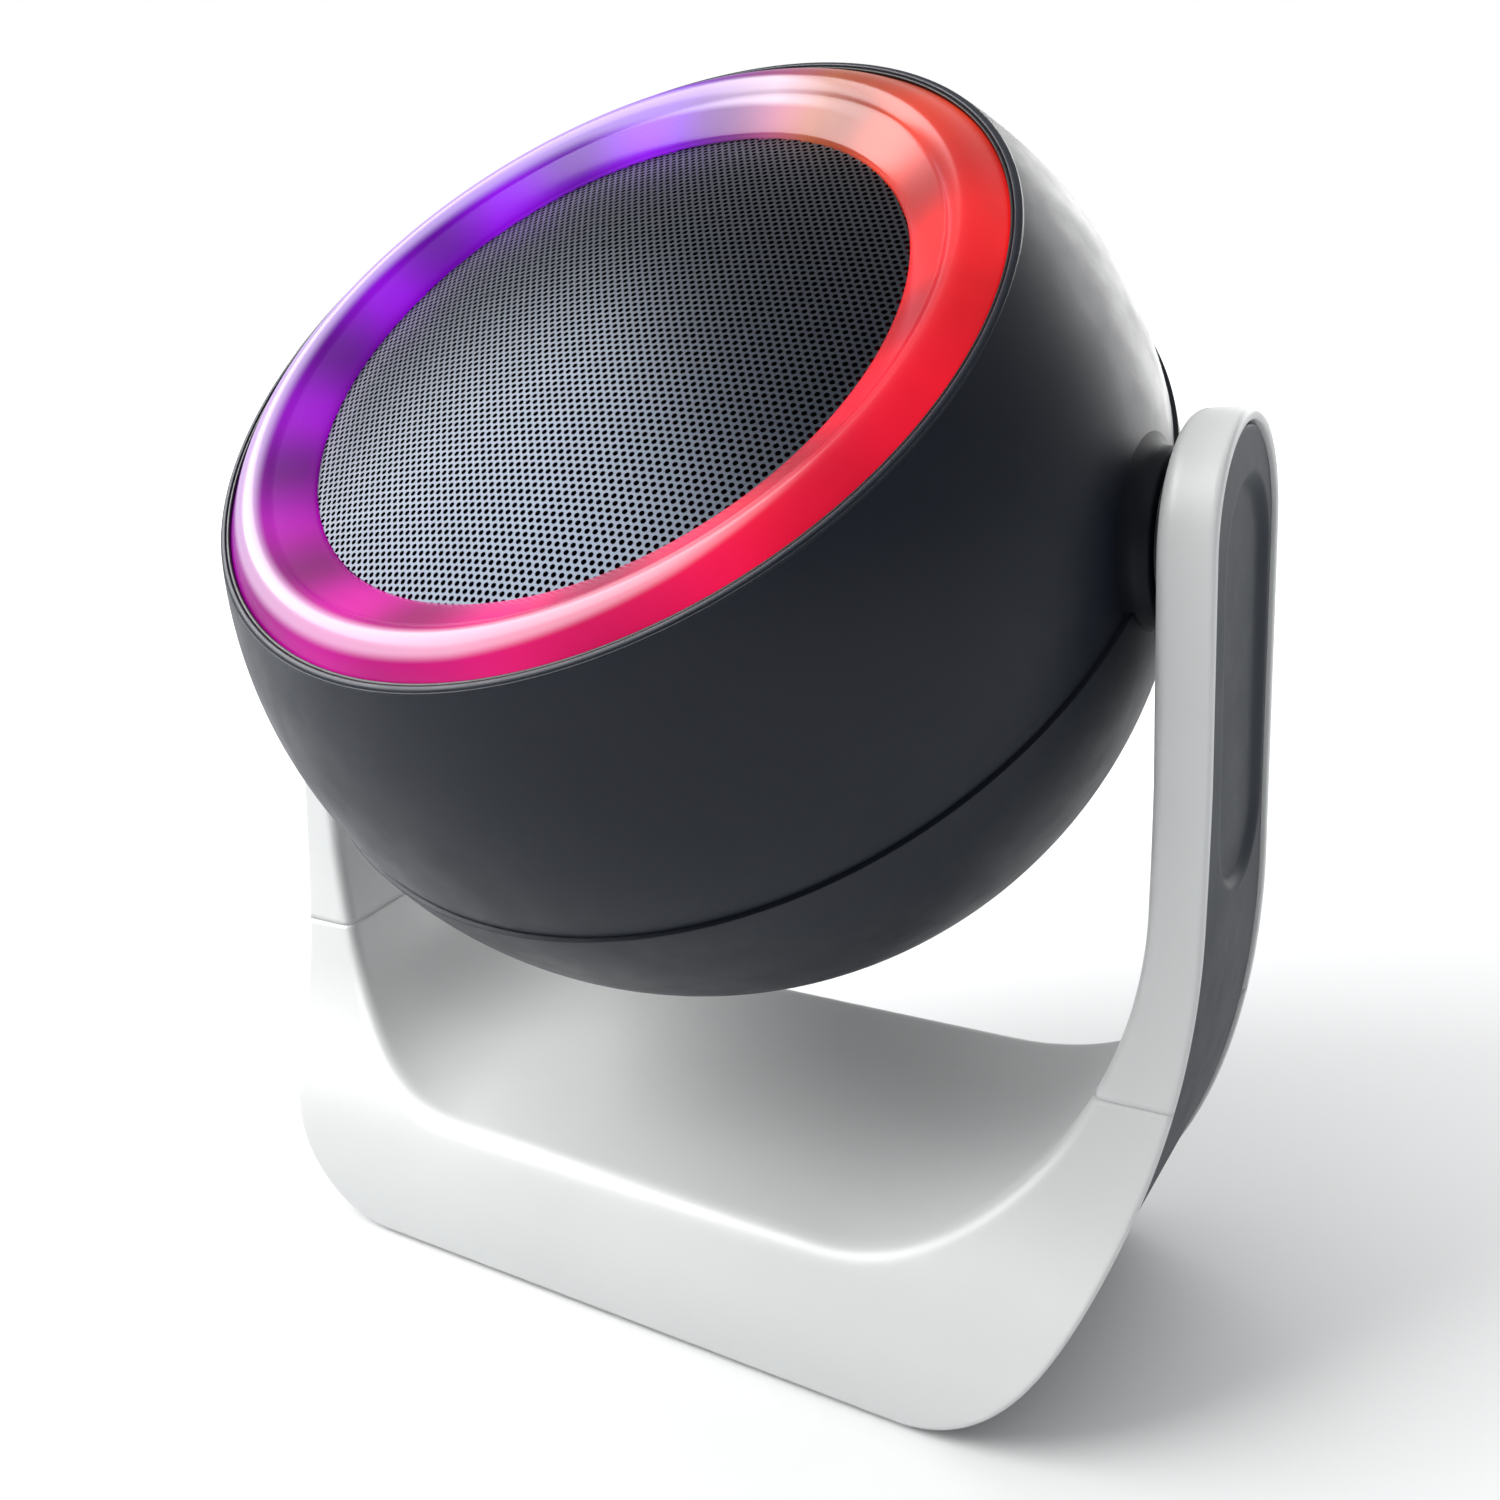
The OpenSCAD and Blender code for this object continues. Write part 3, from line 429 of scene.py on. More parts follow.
# black trim round the light ring
trim = {"inner": 56.92, "outer": 57.38, "low": 33.2, "top": 37.75, "edge": 0.18}
trimProfile = roundedProfile([(trim["inner"], trim["low"], 0), (trim["outer"], trim["low"], 0),
                              (trim["outer"], trim["top"], trim["edge"]),
                              (trim["inner"], trim["top"], trim["edge"])])
trimGrid = spun(trimProfile, 240)
makePiece("trimRing", fromFace(trimGrid).reshape(-1, 3), gridFaces(len(trimProfile), 240, True, True), "head",
          ("trim_ring",), trimBlack)

# grille
sheet = {
    "radius": 43.85, "edge": 35.7, "dome": 4.6, "thick": 0.6, "pitch": 1.155, "hole": 0.76, "sides": 12,
    "skirt": 28.4,
}


def grilleMaterial():
    # black lacquered steel: thin gloss with a slightly mottled film
    material, tree, bsdf = newMaterial("grille lacquer", (0.044, 0.049, 0.058), 0.32, metallic=1.0)
    tree.links.new(remap(tree, noise(tree, 300, 3.0), 0.3, 0.7, 0.32, 0.36), bsdf.inputs["Roughness"])
    tree.links.new(mixColors(tree, remap(tree, noise(tree, 60, 3.0), 0.3, 0.7, 0, 1), (0.041, 0.047, 0.059),
                             (0.044, 0.050, 0.063)), bsdf.inputs["Base Color"])
    return material


def domeHeight(r):
    # height of the spherical dome over the face at a distance r from its middle
    sphere = (sheet["radius"] ** 2 + sheet["dome"] ** 2) / (2 * sheet["dome"])
    return sheet["edge"] + sheet["dome"] - sphere + np.sqrt(sphere ** 2 - r ** 2)


def makeGrille():
    # hexagonal cells in rows along X; each is a ring of facets from the cell's six corners to its hole,
    # and every hole has its own wall through the sheet
    pitch, holeR = sheet["pitch"], sheet["hole"] / 2
    rowStep = pitch * math.sqrt(3) / 2
    reach = sheet["radius"]
    rowsCount = int(reach / rowStep) + 2
    across = int(reach / pitch) + 2
    row = np.arange(-rowsCount, rowsCount + 1)
    col = np.arange(-across, across + 1)
    cx = (col[None, :] + 0.5 * (row[:, None] % 2)) * pitch
    cy = np.broadcast_to(row[:, None] * rowStep, cx.shape)
    centers = np.stack([cx.ravel(), cy.ravel()], -1)
    cellR = pitch / math.sqrt(3)
    centers = centers[np.hypot(centers[:, 0], centers[:, 1]) < reach + cellR]
    n = len(centers)
    hexTurn = math.radians(30) + np.arange(6) * math.pi / 3
    sides = sheet["sides"]
    holeTurn = math.radians(30) + np.arange(sides) * 2 * math.pi / sides
    hexagon = centers[:, None] + cellR * np.stack([np.cos(hexTurn), np.sin(hexTurn)], -1)
    hole = centers[:, None] + holeR * np.stack([np.cos(holeTurn), np.sin(holeTurn)], -1)

    def lift(flat, drop):
        # points past the border come in to it, which cuts the last cells off along the sheet's edge
        away = np.hypot(flat[..., 0], flat[..., 1])[..., None]
        flat = flat * np.minimum(1, reach / np.maximum(away, 1e-9))
        height = domeHeight(np.hypot(flat[..., 0], flat[..., 1])) - drop
        return np.concatenate([flat, height[..., None]], -1)
    top, holeTop = lift(hexagon, 0), lift(hole, 0)
    holeLow = lift(hole, sheet["thick"])
    block = np.concatenate([top, holeTop, holeLow], 1)
    each = 6 + 2 * sides
    base = []
    for k in range(6):
        a, b = k, (k + 1) % 6
        h = [6 + (2 * k + i) % sides for i in range(3)]
        base += [(a, h[1], h[0]), (a, b, h[1]), (b, h[2], h[1])]
    wall = [(6 + k, 6 + (k + 1) % sides, 6 + sides + (k + 1) % sides, 6 + sides + k) for k in range(0, sides)]
    triangles = (np.arange(n)[:, None, None] * each + np.array(base)[None]).reshape(-1, 3)
    quads = (np.arange(n)[:, None, None] * each + np.array(wall)[None]).reshape(-1, 4)
    points = block.reshape(-1, 3)
    outside = np.hypot(points[:, 0], points[:, 1]) > reach - 1e-6
    kept = [part[~outside[part].all(1)].tolist() for part in (triangles, quads)]
    return points, kept[0] + kept[1], n


def makeGrilleRim():
    # skirt under the sheet's border, going down inside the light ring
    outer, low = sheet["radius"] - 0.1, sheet["edge"] - sheet["thick"] - 0.15
    edge = roundedProfile([(outer, low, 0.25), (outer, sheet["skirt"], 0), (outer - 0.7, sheet["skirt"], 0),
                           (outer - 0.7, low, 0.1)])
    grid = spun(edge, 240)
    faces = gridFaces(len(edge), 240, True, True, flip=True)
    return grid.reshape(-1, 3), faces


lacquer = grilleMaterial()
sheetPoints, sheetFaces, cellCount = makeGrille()
makePiece("grilleSheet", fromFace(sheetPoints), sheetFaces, "head", ("grille",), lacquer,
          welded=False, smooth=False, turn=False)
rimPoints, rimFaces = makeGrilleRim()
makePiece("grilleRim", fromFace(rimPoints), rimFaces, "head", ("grille",), lacquer,
          welded=False)
print("grille made,", cellCount, "cells")

# ball shells
shell = {
    "front": 69.4, "rear": 70.0, "wall": 2.4, "seam": 0.06, "hub": 11.6, "rim": 37.9, "lip": 57.4,
    "panelHole": 20.0, "edge": 0.45, "seamEdge": 0.12, "around": 360, "seatDepth": 29.0, "seatWall": 1.4,
    "innerTop": 31.2, "tongueOut": 66.5, "tongueIn": 65.1, "tongueTop": 2.6, "tongueRoot": -4.0,
    "panelWall": 2.3, "panelFlare": 0.6,
}


def seamLoop(radius, height, side, count):
    # loop on a sphere of that radius: the plane z = height, detouring round the two hub holes on that side
    half = count // 4
    flat = math.sqrt(radius ** 2 - height ** 2)
    cut = math.sqrt(shell["hub"] ** 2 - height ** 2)
    # from the middle of the right hub hole to straight up the face, a quarter of the loop
    arcCount = half // 3
    bend = np.linspace(math.pi / 2, math.asin(abs(height) / shell["hub"]) * (1 if side * height > 0 else -1),
                       arcCount, endpoint=False)
    y1 = shell["hub"] * np.cos(bend)
    z1 = side * shell["hub"] * np.sin(bend)
    x1 = np.sqrt(radius ** 2 - y1 ** 2 - z1 ** 2)
    start = math.asin(cut / flat)
    turn = np.linspace(start, math.pi / 2, half - arcCount + 1)
    x2, y2 = flat * np.cos(turn), flat * np.sin(turn)
    quarter = np.concatenate([np.stack([x1, y1, z1], -1), np.stack([x2, y2, 0 * x2 + height], -1)])
    second = quarter[::-1][1:] * (-1, 1, 1)
    upper = np.concatenate([quarter, second])
    lower = upper[::-1][1:-1] * (1, -1, 1)
    return np.concatenate([upper, lower])


def circleLoop(radius, height, like):
    turn = np.arctan2(like[:, 1], like[:, 0])
    return np.stack([radius * np.cos(turn), radius * np.sin(turn), 0 * turn + height], -1)


def spherePatch(lower, upper, radius, rows):
    # rows between two loops, blended and pushed out to the sphere
    t = np.linspace(0, 1, rows)[:, None, None]
    t = 0.5 - 0.5 * np.cos(math.pi * t) if rows > 12 else t
    grid = (1 - t) * lower + t * upper
    return grid * radius / np.linalg.norm(grid, axis=-1, keepdims=True)


def makeFrontShell():
    count, r = shell["around"], shell["front"]
    rIn = r - shell["wall"]
    low = seamLoop(r, shell["seam"], 1, count)
    lowIn = seamLoop(rIn, shell["seam"], 1, count)
    rimR = math.sqrt(r ** 2 - shell["rim"] ** 2)
    top = circleLoop(rimR, shell["rim"], low)
    outer = spherePatch(low, top, r, 48)
    lip = circleLoop(shell["lip"], shell["rim"], low)
    wallLow = circleLoop(shell["lip"], shell["seatDepth"], low)
    wallBack = circleLoop(shell["lip"] + shell["seatWall"], shell["seatDepth"], low)
    inTop = circleLoop(math.sqrt(rIn ** 2 - shell["innerTop"] ** 2), shell["innerTop"], low)
    inner = spherePatch(lowIn, inTop, rIn, 20)
    edge = shell["edge"]
    seamOuter = fillet(lowIn, low, outer[3], shell["seamEdge"], 5)
    rimOuter = fillet(outer[-4], top, lip, edge, 5)
    rimInner = fillet(top, lip, wallLow, edge * 0.5, 4)
    grid = np.concatenate([seamOuter, outer[3:-3], rimOuter, rimInner, wallLow[None], wallBack[None],
                           inner[::-1]])
    return grid.reshape(-1, 3), gridFaces(len(grid), count, True, True)


def makeRearShell():
    count, r = shell["around"], shell["rear"]
    rIn = r - shell["wall"]
    top = seamLoop(r, -shell["seam"], -1, count)
    step = seamLoop(shell["tongueOut"], -shell["seam"], -1, count)
    tongueTop = seamLoop(shell["tongueOut"], shell["tongueTop"], -1, count)
    tongueTopIn = seamLoop(shell["tongueIn"], shell["tongueTop"], -1, count)
    tongueLow = seamLoop(shell["tongueIn"], shell["tongueRoot"], -1, count)
    bottomZ = -math.sqrt(r ** 2 - shell["panelHole"] ** 2)
    bottom = circleLoop(shell["panelHole"], bottomZ, top)
    deep = circleLoop(shell["panelHole"], bottomZ + shell["panelWall"], top)
    flare = shell["panelHole"] + shell["panelFlare"]
    inBottom = circleLoop(flare, -math.sqrt(rIn ** 2 - flare ** 2), top)
    inTop = seamLoop(rIn, shell["tongueRoot"], -1, count)
    outer = spherePatch(bottom, top, r, 72)
    inner = spherePatch(inBottom, inTop, rIn, 24)
    edge = shell["edge"]
    holeEdge = fillet(deep, bottom, outer[3], edge, 5)
    seamEdge = fillet(outer[-4], top, step, shell["seamEdge"], 5)
    grid = np.concatenate([holeEdge, outer[3:-3], seamEdge, step[None], tongueTop[None], tongueTopIn[None],
                           tongueLow[None], inner[::-1], deep[None]])
    return grid.reshape(-1, 3), gridFaces(len(grid), count, True, True)


frontPoints, frontFaces = makeFrontShell()
makePiece("frontShell", fromFace(frontPoints), frontFaces, "head", ("front_shell",), shellSatin)
rearPoints, rearFaces = makeRearShell()
makePiece("rearShell", fromFace(rearPoints), rearFaces, "head", ("rear_shell",), shellSatin)
print("shells made")

# pivot bosses
boss = {
    "r": 11.5, "flare": 3.4, "rise": 1.6, "end": 71.4, "edge": 0.5, "spindle": 5.0, "tip": 76.0,
    "inside": 60.0,
}


def makeBoss(side):
    # turned about the tilt axis: a soft flare out of the ball, the boss, then the spindle in the stand
    foot = boss["r"] + boss["flare"]
    seat = math.sqrt(shell["front"] ** 2 - foot ** 2) - 0.12
    knee = math.sqrt(shell["front"] ** 2 - boss["r"] ** 2)
    t = np.linspace(0, 1, 10)[:, None]
    a, b, c = (np.array(point) for point in ((foot, seat), (boss["r"], knee - 0.1),
                                             (boss["r"], knee + boss["rise"])))
    curve = (1 - t) ** 2 * a + 2 * t * (1 - t) * b + t ** 2 * c
    rim = roundedProfile([(boss["r"], knee, 0), (boss["r"], boss["end"], boss["edge"]),
                          (boss["spindle"], boss["end"], 0)])[1:-1]
    spindle = [[boss["spindle"], boss["end"]], [boss["spindle"], boss["tip"]], [0, boss["tip"]]]
    profile = np.concatenate([curve, rim, spindle, [[0, boss["inside"]], [foot - 2, boss["inside"]]]])
    grid = spun(profile, 144)
    points = np.stack([side * grid[..., 2], grid[..., 0], grid[..., 1] + pivotHeight], -1)
    return points.reshape(-1, 3), gridFaces(len(profile), 144, True, True)


for side, hub in ((1, "right"), (-1, "left")):
    bossPoints, bossFaces = makeBoss(side)
    makePiece(hub + "Boss", bossPoints, bossFaces, "head", (hub + "_hub",), bossPlastic)
print("bosses made")

# yoke stand
yoke = {
    "split": 44.5, "gap": 0.05, "half": 16.0, "wall": 1.8, "lip": 1.6,
    "recess": 2.6, "hole": 6.0, "crease": 2.3, "outerEdge": 0.8, "lipEdge": 0.3,
    "sweep": ((-16.0, 84.7), (-21.0, 14.9), (-43.5, 31.9), (-42.8, 0.0)),
    "outer": (80.4, 0.8, 32.5, 66.0), "front": (73.15, 20.9, 39.6, 47.3), "back": (73.15, 28.5, 31.1, 19.5),
    "armRows": 70, "capRows": 48, "baseRows": 110,
}


def sweepY(z):
    # front edge of the stand from the side: a cubic curve below its top knot, straight above it
    t = np.linspace(0, 1, 400)[:, None]
    a, b, c, d = (np.array(p) for p in yoke["sweep"])
    curve = (1 - t) ** 3 * a + 3 * t * (1 - t) ** 2 * b + 3 * t ** 2 * (1 - t) * c + t ** 3 * d
    return np.interp(z, curve[::-1, 1], curve[::-1, 0])


def outline(spec, grow, stops, counts, endX=0.0):
    # U outline (half width, bottom, corner radii) grown by some margin and cut at the given heights, each
    # part spaced evenly along its length; the last part ends where the outline comes in to endX
    half, low, rx, rz = spec[0] + grow, spec[1] - grow, spec[2] + grow, spec[3] + grow
    turn = np.linspace(0, math.pi / 2, 400)
    x = np.concatenate([[half, half], half - rx + rx * np.cos(turn), [0]])
    z = np.concatenate([[400, low + rz + 1e-6], low + rz - rz * np.sin(turn), [low]])
    length = np.concatenate([[0], np.cumsum(np.hypot(np.diff(x), np.diff(z)))])
    places = [np.interp(-stop, -z[:-1], length[:-1]) for stop in stops]
    places.append(np.interp(-endX, -x[1:], length[1:]))
    parts = []
    for first, last, count in zip(places[:-1], places[1:], counts):
        at = np.linspace(first, last, count)
        parts.append(np.stack([np.interp(at, length, x), np.interp(at, length, z)], -1))
    return parts


def sideLoop(spec, grow, inset, part, backSpec=None):
    # one edge of an arm: up its front, over the round top and down its back, in by inset from the outline
    stops, counts = (pivotHeight, part), (yoke["armRows"], 2)
    front = outline(spec, grow, stops, counts)[0][::-1]
    back = outline(backSpec or spec, grow, stops, counts)[0]
    frontEdge = np.stack([front[:, 0], sweepY(front[:, 1]) + inset, front[:, 1]], -1)
    backEdge = np.stack([back[:, 0], 0 * back[:, 0] + yoke["half"] - inset, back[:, 1]], -1)
    turn = np.linspace(0, math.pi, yoke["capRows"] + 2)[1:-1]
    r = yoke["half"] - inset
    cap = np.stack([0 * turn + spec[0] + grow, -r * np.cos(turn), pivotHeight + r * np.sin(turn)], -1)
    return np.concatenate([frontEdge, cap, backEdge])


def spineLoop(ballEdgeLoop, holeR):
    # middle line of the arm's plate under each edge point, going round the pivot hole
    rows, caps = yoke["armRows"], yoke["capRows"]
    front, cap, back = np.split(ballEdgeLoop, [rows, rows + caps])
    middle = (front + back[::-1]) / 2
    drop = pivotHeight - middle[:, 2]
    detour = np.sqrt(np.clip(holeR ** 2 - drop ** 2, 0, None))
    frontSpine, backSpine = middle.copy(), middle.copy()
    frontSpine[:, 1] = np.where(drop < holeR, -detour, middle[:, 1])
    backSpine[:, 1] = np.where(drop < holeR, detour, middle[:, 1])
    turn = np.linspace(0, math.pi, caps + 2)[1:-1]
    capSpine = np.stack([cap[:, 0], -holeR * np.cos(turn), pivotHeight + holeR * np.sin(turn)], -1)
    return np.concatenate([frontSpine, capSpine, backSpine[::-1]])


def between(a, b, count):
    # rows evenly spaced between two loops, without the loops themselves
    t = np.linspace(0, 1, count + 2)[1:-1]
    return (1 - t)[:, None, None] * a + t[:, None, None] * b


def wallRows(inner, outer, count, startGap=None, endGap=None):
    # rows from the crease to the outer edge that leave room for both fillets; the front ones follow the side
    # sweep at their own height
    width = np.linalg.norm(outer - inner, axis=-1)
    first = (yoke["crease"] + 0.2 if startGap is None else startGap) / width
    final = 1 - (yoke["outerEdge"] + 0.2 if endGap is None else endGap) / width
    t = (first + (final - first) * np.linspace(0, 1, count)[:, None])[..., None]
    rows = inner * (1 - t) + outer * t
    frontish = np.abs(inner[:, 1] - sweepY(inner[:, 2])) < 1e-6
    frontish &= np.abs(outer[:, 1] - sweepY(outer[:, 2])) < 1e-6
    rows[..., 1] = np.where(frontish, sweepY(rows[..., 2]), rows[..., 1])
    return rows


def makeArm(side):
    part = yoke["split"] + yoke["gap"]
    wall, lip = yoke["wall"], yoke["lip"]
    crease = sideLoop(yoke["front"], 0, 0, part, yoke["back"])
    outer = sideLoop(yoke["outer"], 0, 0, part)
    lipIn = sideLoop(yoke["outer"], 0, lip, part)
    recess = sideLoop(yoke["outer"], -yoke["recess"], lip, part)
    cavity = sideLoop(yoke["front"], wall, lip, part, yoke["back"])
    spine, spineIn = spineLoop(crease, yoke["hole"]), spineLoop(cavity, yoke["hole"])
    wallPart = wallRows(crease, outer, 8)
    grid = np.concatenate([
        spine[None], wallRows(spine, crease, 8, 0.8, yoke["crease"] + 0.2),
        fillet(spine, crease, wallPart[0], yoke["crease"], 9), wallPart,
        fillet(wallPart[-1], outer, lipIn, yoke["outerEdge"], 6),
        fillet(outer, lipIn, recess, yoke["lipEdge"], 4),
        recess[None], cavity[None], between(cavity, spineIn, 4), spineIn[None]])
    rows, count = grid.shape[:2]
    faces = gridFaces(rows, count)
    # wall of the pivot hole, only where the middle line goes round it
    around = np.nonzero(np.hypot(spine[:, 1], spine[:, 2] - pivotHeight) < yoke["hole"] + 1e-6)[0]
    last = rows - 1
    for a, b in zip(around[:-1], around[1:]):
        faces.append([int(a), int(b), int(last * count + b), int(last * count + a)][::-1])
    # flat end at the parting line: down the front half's section and back up the rear half's
    faces.append([r * count for r in range(rows)] + [r * count + count - 1 for r in range(rows - 1, -1, -1)])
    return grid.reshape(-1, 3) * (side, 1, 1), faces


def halfSection(part, spec, grow, inset, front):
    right = outline(spec, grow, (part,), (yoke["baseRows"],))[0]
    x = np.concatenate([right[:, 0], -right[::-1][1:, 0]])
    z = np.concatenate([right[:, 1], right[::-1][1:, 1]])
    y = sweepY(z) + inset if front else 0 * z + yoke["half"] - inset
    return np.stack([x, y, z], -1)


def makeBase():
    part = yoke["split"] - yoke["gap"]
    wall, lip = yoke["wall"], yoke["lip"]
    creaseF = halfSection(part, yoke["front"], 0, 0, True)
    creaseB = halfSection(part, yoke["back"], 0, 0, False)
    outerF = halfSection(part, yoke["outer"], 0, 0, True)
    outerB = halfSection(part, yoke["outer"], 0, 0, False)
    lipF = halfSection(part, yoke["outer"], 0, lip, True)
    lipB = halfSection(part, yoke["outer"], 0, lip, False)
    recessF = halfSection(part, yoke["outer"], -yoke["recess"], lip, True)
    recessB = halfSection(part, yoke["outer"], -yoke["recess"], lip, False)
    cavityF = halfSection(part, yoke["front"], wall, lip, True)
    cavityB = halfSection(part, yoke["back"], wall, lip, False)
    wallF = wallRows(creaseF, outerF, 14)
    wallB = wallRows(creaseB, outerB, 6)
    top = wallRows(creaseF, creaseB, 16, yoke["crease"] + 0.2, yoke["crease"] + 0.2)
    grid = np.concatenate([
        fillet(top[0], creaseF, wallF[0], yoke["crease"], 9), wallF,
        fillet(wallF[-1], outerF, lipF, yoke["outerEdge"], 6),
        fillet(outerF, lipF, recessF, yoke["lipEdge"], 4),
        recessF[None], cavityF[None], between(cavityF, cavityB, 6), cavityB[None], recessB[None],
        fillet(recessB, lipB, outerB, yoke["lipEdge"], 4),
        fillet(lipB, outerB, wallB[-1], yoke["outerEdge"], 6),
        wallB[::-1], fillet(wallB[0], creaseB, top[-1], yoke["crease"], 9), top[::-1]])
    rows, count = grid.shape[:2]
    faces = gridFaces(rows, count, wrapRows=True)
    faces.append([r * count for r in range(rows)])
    faces.append([r * count + count - 1 for r in range(rows)][::-1])
    return grid.reshape(-1, 3), faces


for side, arm in ((1, "right"), (-1, "left")):
    armPoints, armFaces = makeArm(side)
    makePiece(arm + "Arm", armPoints, armFaces, "stand", (arm + "_arm",), standSatin)
basePoints, baseFaces = makeBase()
makePiece("standBase", basePoints, baseFaces, "stand", ("base_shell",), standSatin)
print("stand made")

# side covers
cover = {
    "sink": 0.5, "thick": 1.8, "gap": 0.45, "end": 46.5, "pocketTop": 120.4, "pocketLow": 66.3,
    "pocketR": 10.5, "pocketY": 2.0, "depth": 1.1, "soft": 1.5, "edge": 0.4,
}


def coverLoops(sink):
    inset = yoke["lip"] + cover["gap"]
    low, r = cover["pocketLow"] + cover["pocketR"], yoke["half"] - inset
    counts = (40, 26, 90)
    parts = outline(yoke["outer"], -sink, (pivotHeight, low, cover["pocketLow"]), counts, cover["end"])
    # the pocket's lower end needs points that bunch towards its tip
    bend = np.linspace(0, math.pi / 2, counts[1])
    zTip = low - cover["pocketR"] * np.sin(bend)
    tip = np.stack([np.interp(zTip[::-1], parts[1][::-1, 1], parts[1][::-1, 0])[::-1], zTip], -1)
    down = np.concatenate([parts[0], tip[1:], parts[2][1:]])
    x, z = down[:, 0], down[:, 1]
    front = np.stack([x, sweepY(z) + inset, z], -1)[::-1]
    back = np.stack([x, 0 * x + r, z], -1)
    turn = np.linspace(0, math.pi, 60)[1:-1]
    cap = np.stack([0 * turn + x[0], -r * np.cos(turn), pivotHeight + r * np.sin(turn)], -1)
    edge = np.concatenate([front, cap, back])

    # capsule smaller than the pocket's by shrink, matched to the edge point for point; below it, one line
    def capsule(shrink):
        rr = max(cover["pocketR"] - shrink, 0)
        topZ = cover["pocketTop"] - cover["pocketR"]
        below = np.clip(low - z, 0, cover["pocketR"])
        tail = z < cover["pocketLow"] - 1e-6
        width = np.where(z >= low, rr, np.sqrt(np.clip(1 - (below / cover["pocketR"]) ** 2, 0, None)) * rr)
        width = np.where(tail | (below > cover["pocketR"] - 1e-6), 0, width)
        zz = np.where(z >= low, low + (z - low) * (topZ - low) / (pivotHeight - low),
                      low - below * rr / cover["pocketR"])
        zz = np.where(tail, z, zz)
        middleY = np.where(tail, np.interp(z, [0, cover["pocketLow"] * 0.9], [-12.0, cover["pocketY"]]),
                           cover["pocketY"])
        xx = np.where(tail, x, np.interp(zz, z[::-1], x[::-1]))
        f = np.stack([xx, middleY - width, zz], -1)[::-1]
        b = np.stack([xx, middleY + width, zz], -1)
        c = np.stack([0 * turn + x[0], cover["pocketY"] - rr * np.cos(turn), topZ + rr * np.sin(turn)], -1)
        return np.concatenate([f, c, b])
    return edge, capsule


def makeCover(side):
    edge, capsule = coverLoops(cover["sink"])
    under, underCapsule = coverLoops(cover["sink"] + cover["thick"])
    rim = fillet(under, edge, capsule(0), cover["edge"], 5)
    brow = capsule(-0.4)
    field = between(rim[-1], brow, 8)
    pocket = []
    for shrink in np.linspace(-0.4, cover["soft"], 9):
        loop = capsule(shrink)
        t = (shrink + 0.4) / (cover["soft"] + 0.4)
        loop[:, 0] -= np.where(loop[:, 2] > cover["pocketLow"] - 0.5, cover["depth"] * t * t * (3 - 2 * t), 0)
        pocket.append(loop)
    spine = capsule(cover["pocketR"])
    spine[:, 0] = pocket[-1][:, 0]
    floorRows = between(pocket[-1], spine, 5)
    grid = np.concatenate([under[None], rim, field, np.array(pocket), floorRows, spine[None]])
    rows, count = grid.shape[:2]
    browRow = 1 + len(rim) + len(field)
    faces = gridFaces(rows, count)
    # below the pocket its rows all lie on the middle line, so only the field's faces are kept there
    line = np.array([spine[:, 2] < cover["pocketLow"] - 1e-6] * rows)
    tip = np.abs(grid[..., 1] - cover["pocketY"]) < 1e-9
    flat = ((line | tip) & (np.arange(rows)[:, None] >= browRow)).ravel()
    faces = [f for f in faces if not all(flat[i] for i in f)]
    # underside: from its own middle line out to the rim
    underMiddle = underCapsule(cover["pocketR"])
    lower = np.concatenate([underMiddle[None], between(underMiddle, under, 3)])
    start = rows * count
    faces += gridFaces(len(lower), count, start=start)
    last = start + (len(lower) - 1) * count
    faces += [[last + k, last + k + 1, k + 1, k] for k in range(count - 1)]
    faces.append([r * count for r in range(browRow + 1)]
                 + [r * count + count - 1 for r in range(browRow - 1, -1, -1)]
                 + [start + r * count + count - 1 for r in range(len(lower) - 1, -1, -1)]
                 + [start + r * count for r in range(1, len(lower))])
    points = np.concatenate([grid.reshape(-1, 3), lower.reshape(-1, 3)])
    return points * (side, 1, 1), faces


for side, arm in ((1, "right"), (-1, "left")):
    coverPoints, coverFaces = makeCover(side)
    makePiece(arm + "Cover", coverPoints, coverFaces, "stand", (arm + "_cover",), coverSatin)
print("covers made")

# button caps on the rear panel, with raised marks
caps = {
    "panel": -67.0, "out": 0.8, "r": 4.0, "low": -3.5, "flange": 1.2, "flangeR": 4.9, "ring": 10.5,
    "edge": 0.5, "dish": 0.22, "mark": 0.12, "line": 0.42,
}


def onPanel(points, at):
    # a cap's own frame has Z pointing out of the rear panel, and Y up as seen from behind
    x, y, z = points[..., 0], points[..., 1], points[..., 2]
    return fromFace(np.stack([at[0] - x, at[1] + y, caps["panel"] - z], -1))


def makeCap():
    r, out = caps["r"], caps["out"]
    profile = roundedProfile([(0, caps["low"], 0), (caps["flangeR"], caps["low"], 0),
                              (caps["flangeR"], caps["low"] + caps["flange"], 0.2),
                              (r, caps["low"] + caps["flange"], 0), (r, out, caps["edge"]),
                              (r - 1.0, out - 0.03, 0.3), (0, out - caps["dish"], 0)])
    grid = spun(profile, 72)
    return grid.reshape(-1, 3), gridFaces(len(profile), 72, True, True)


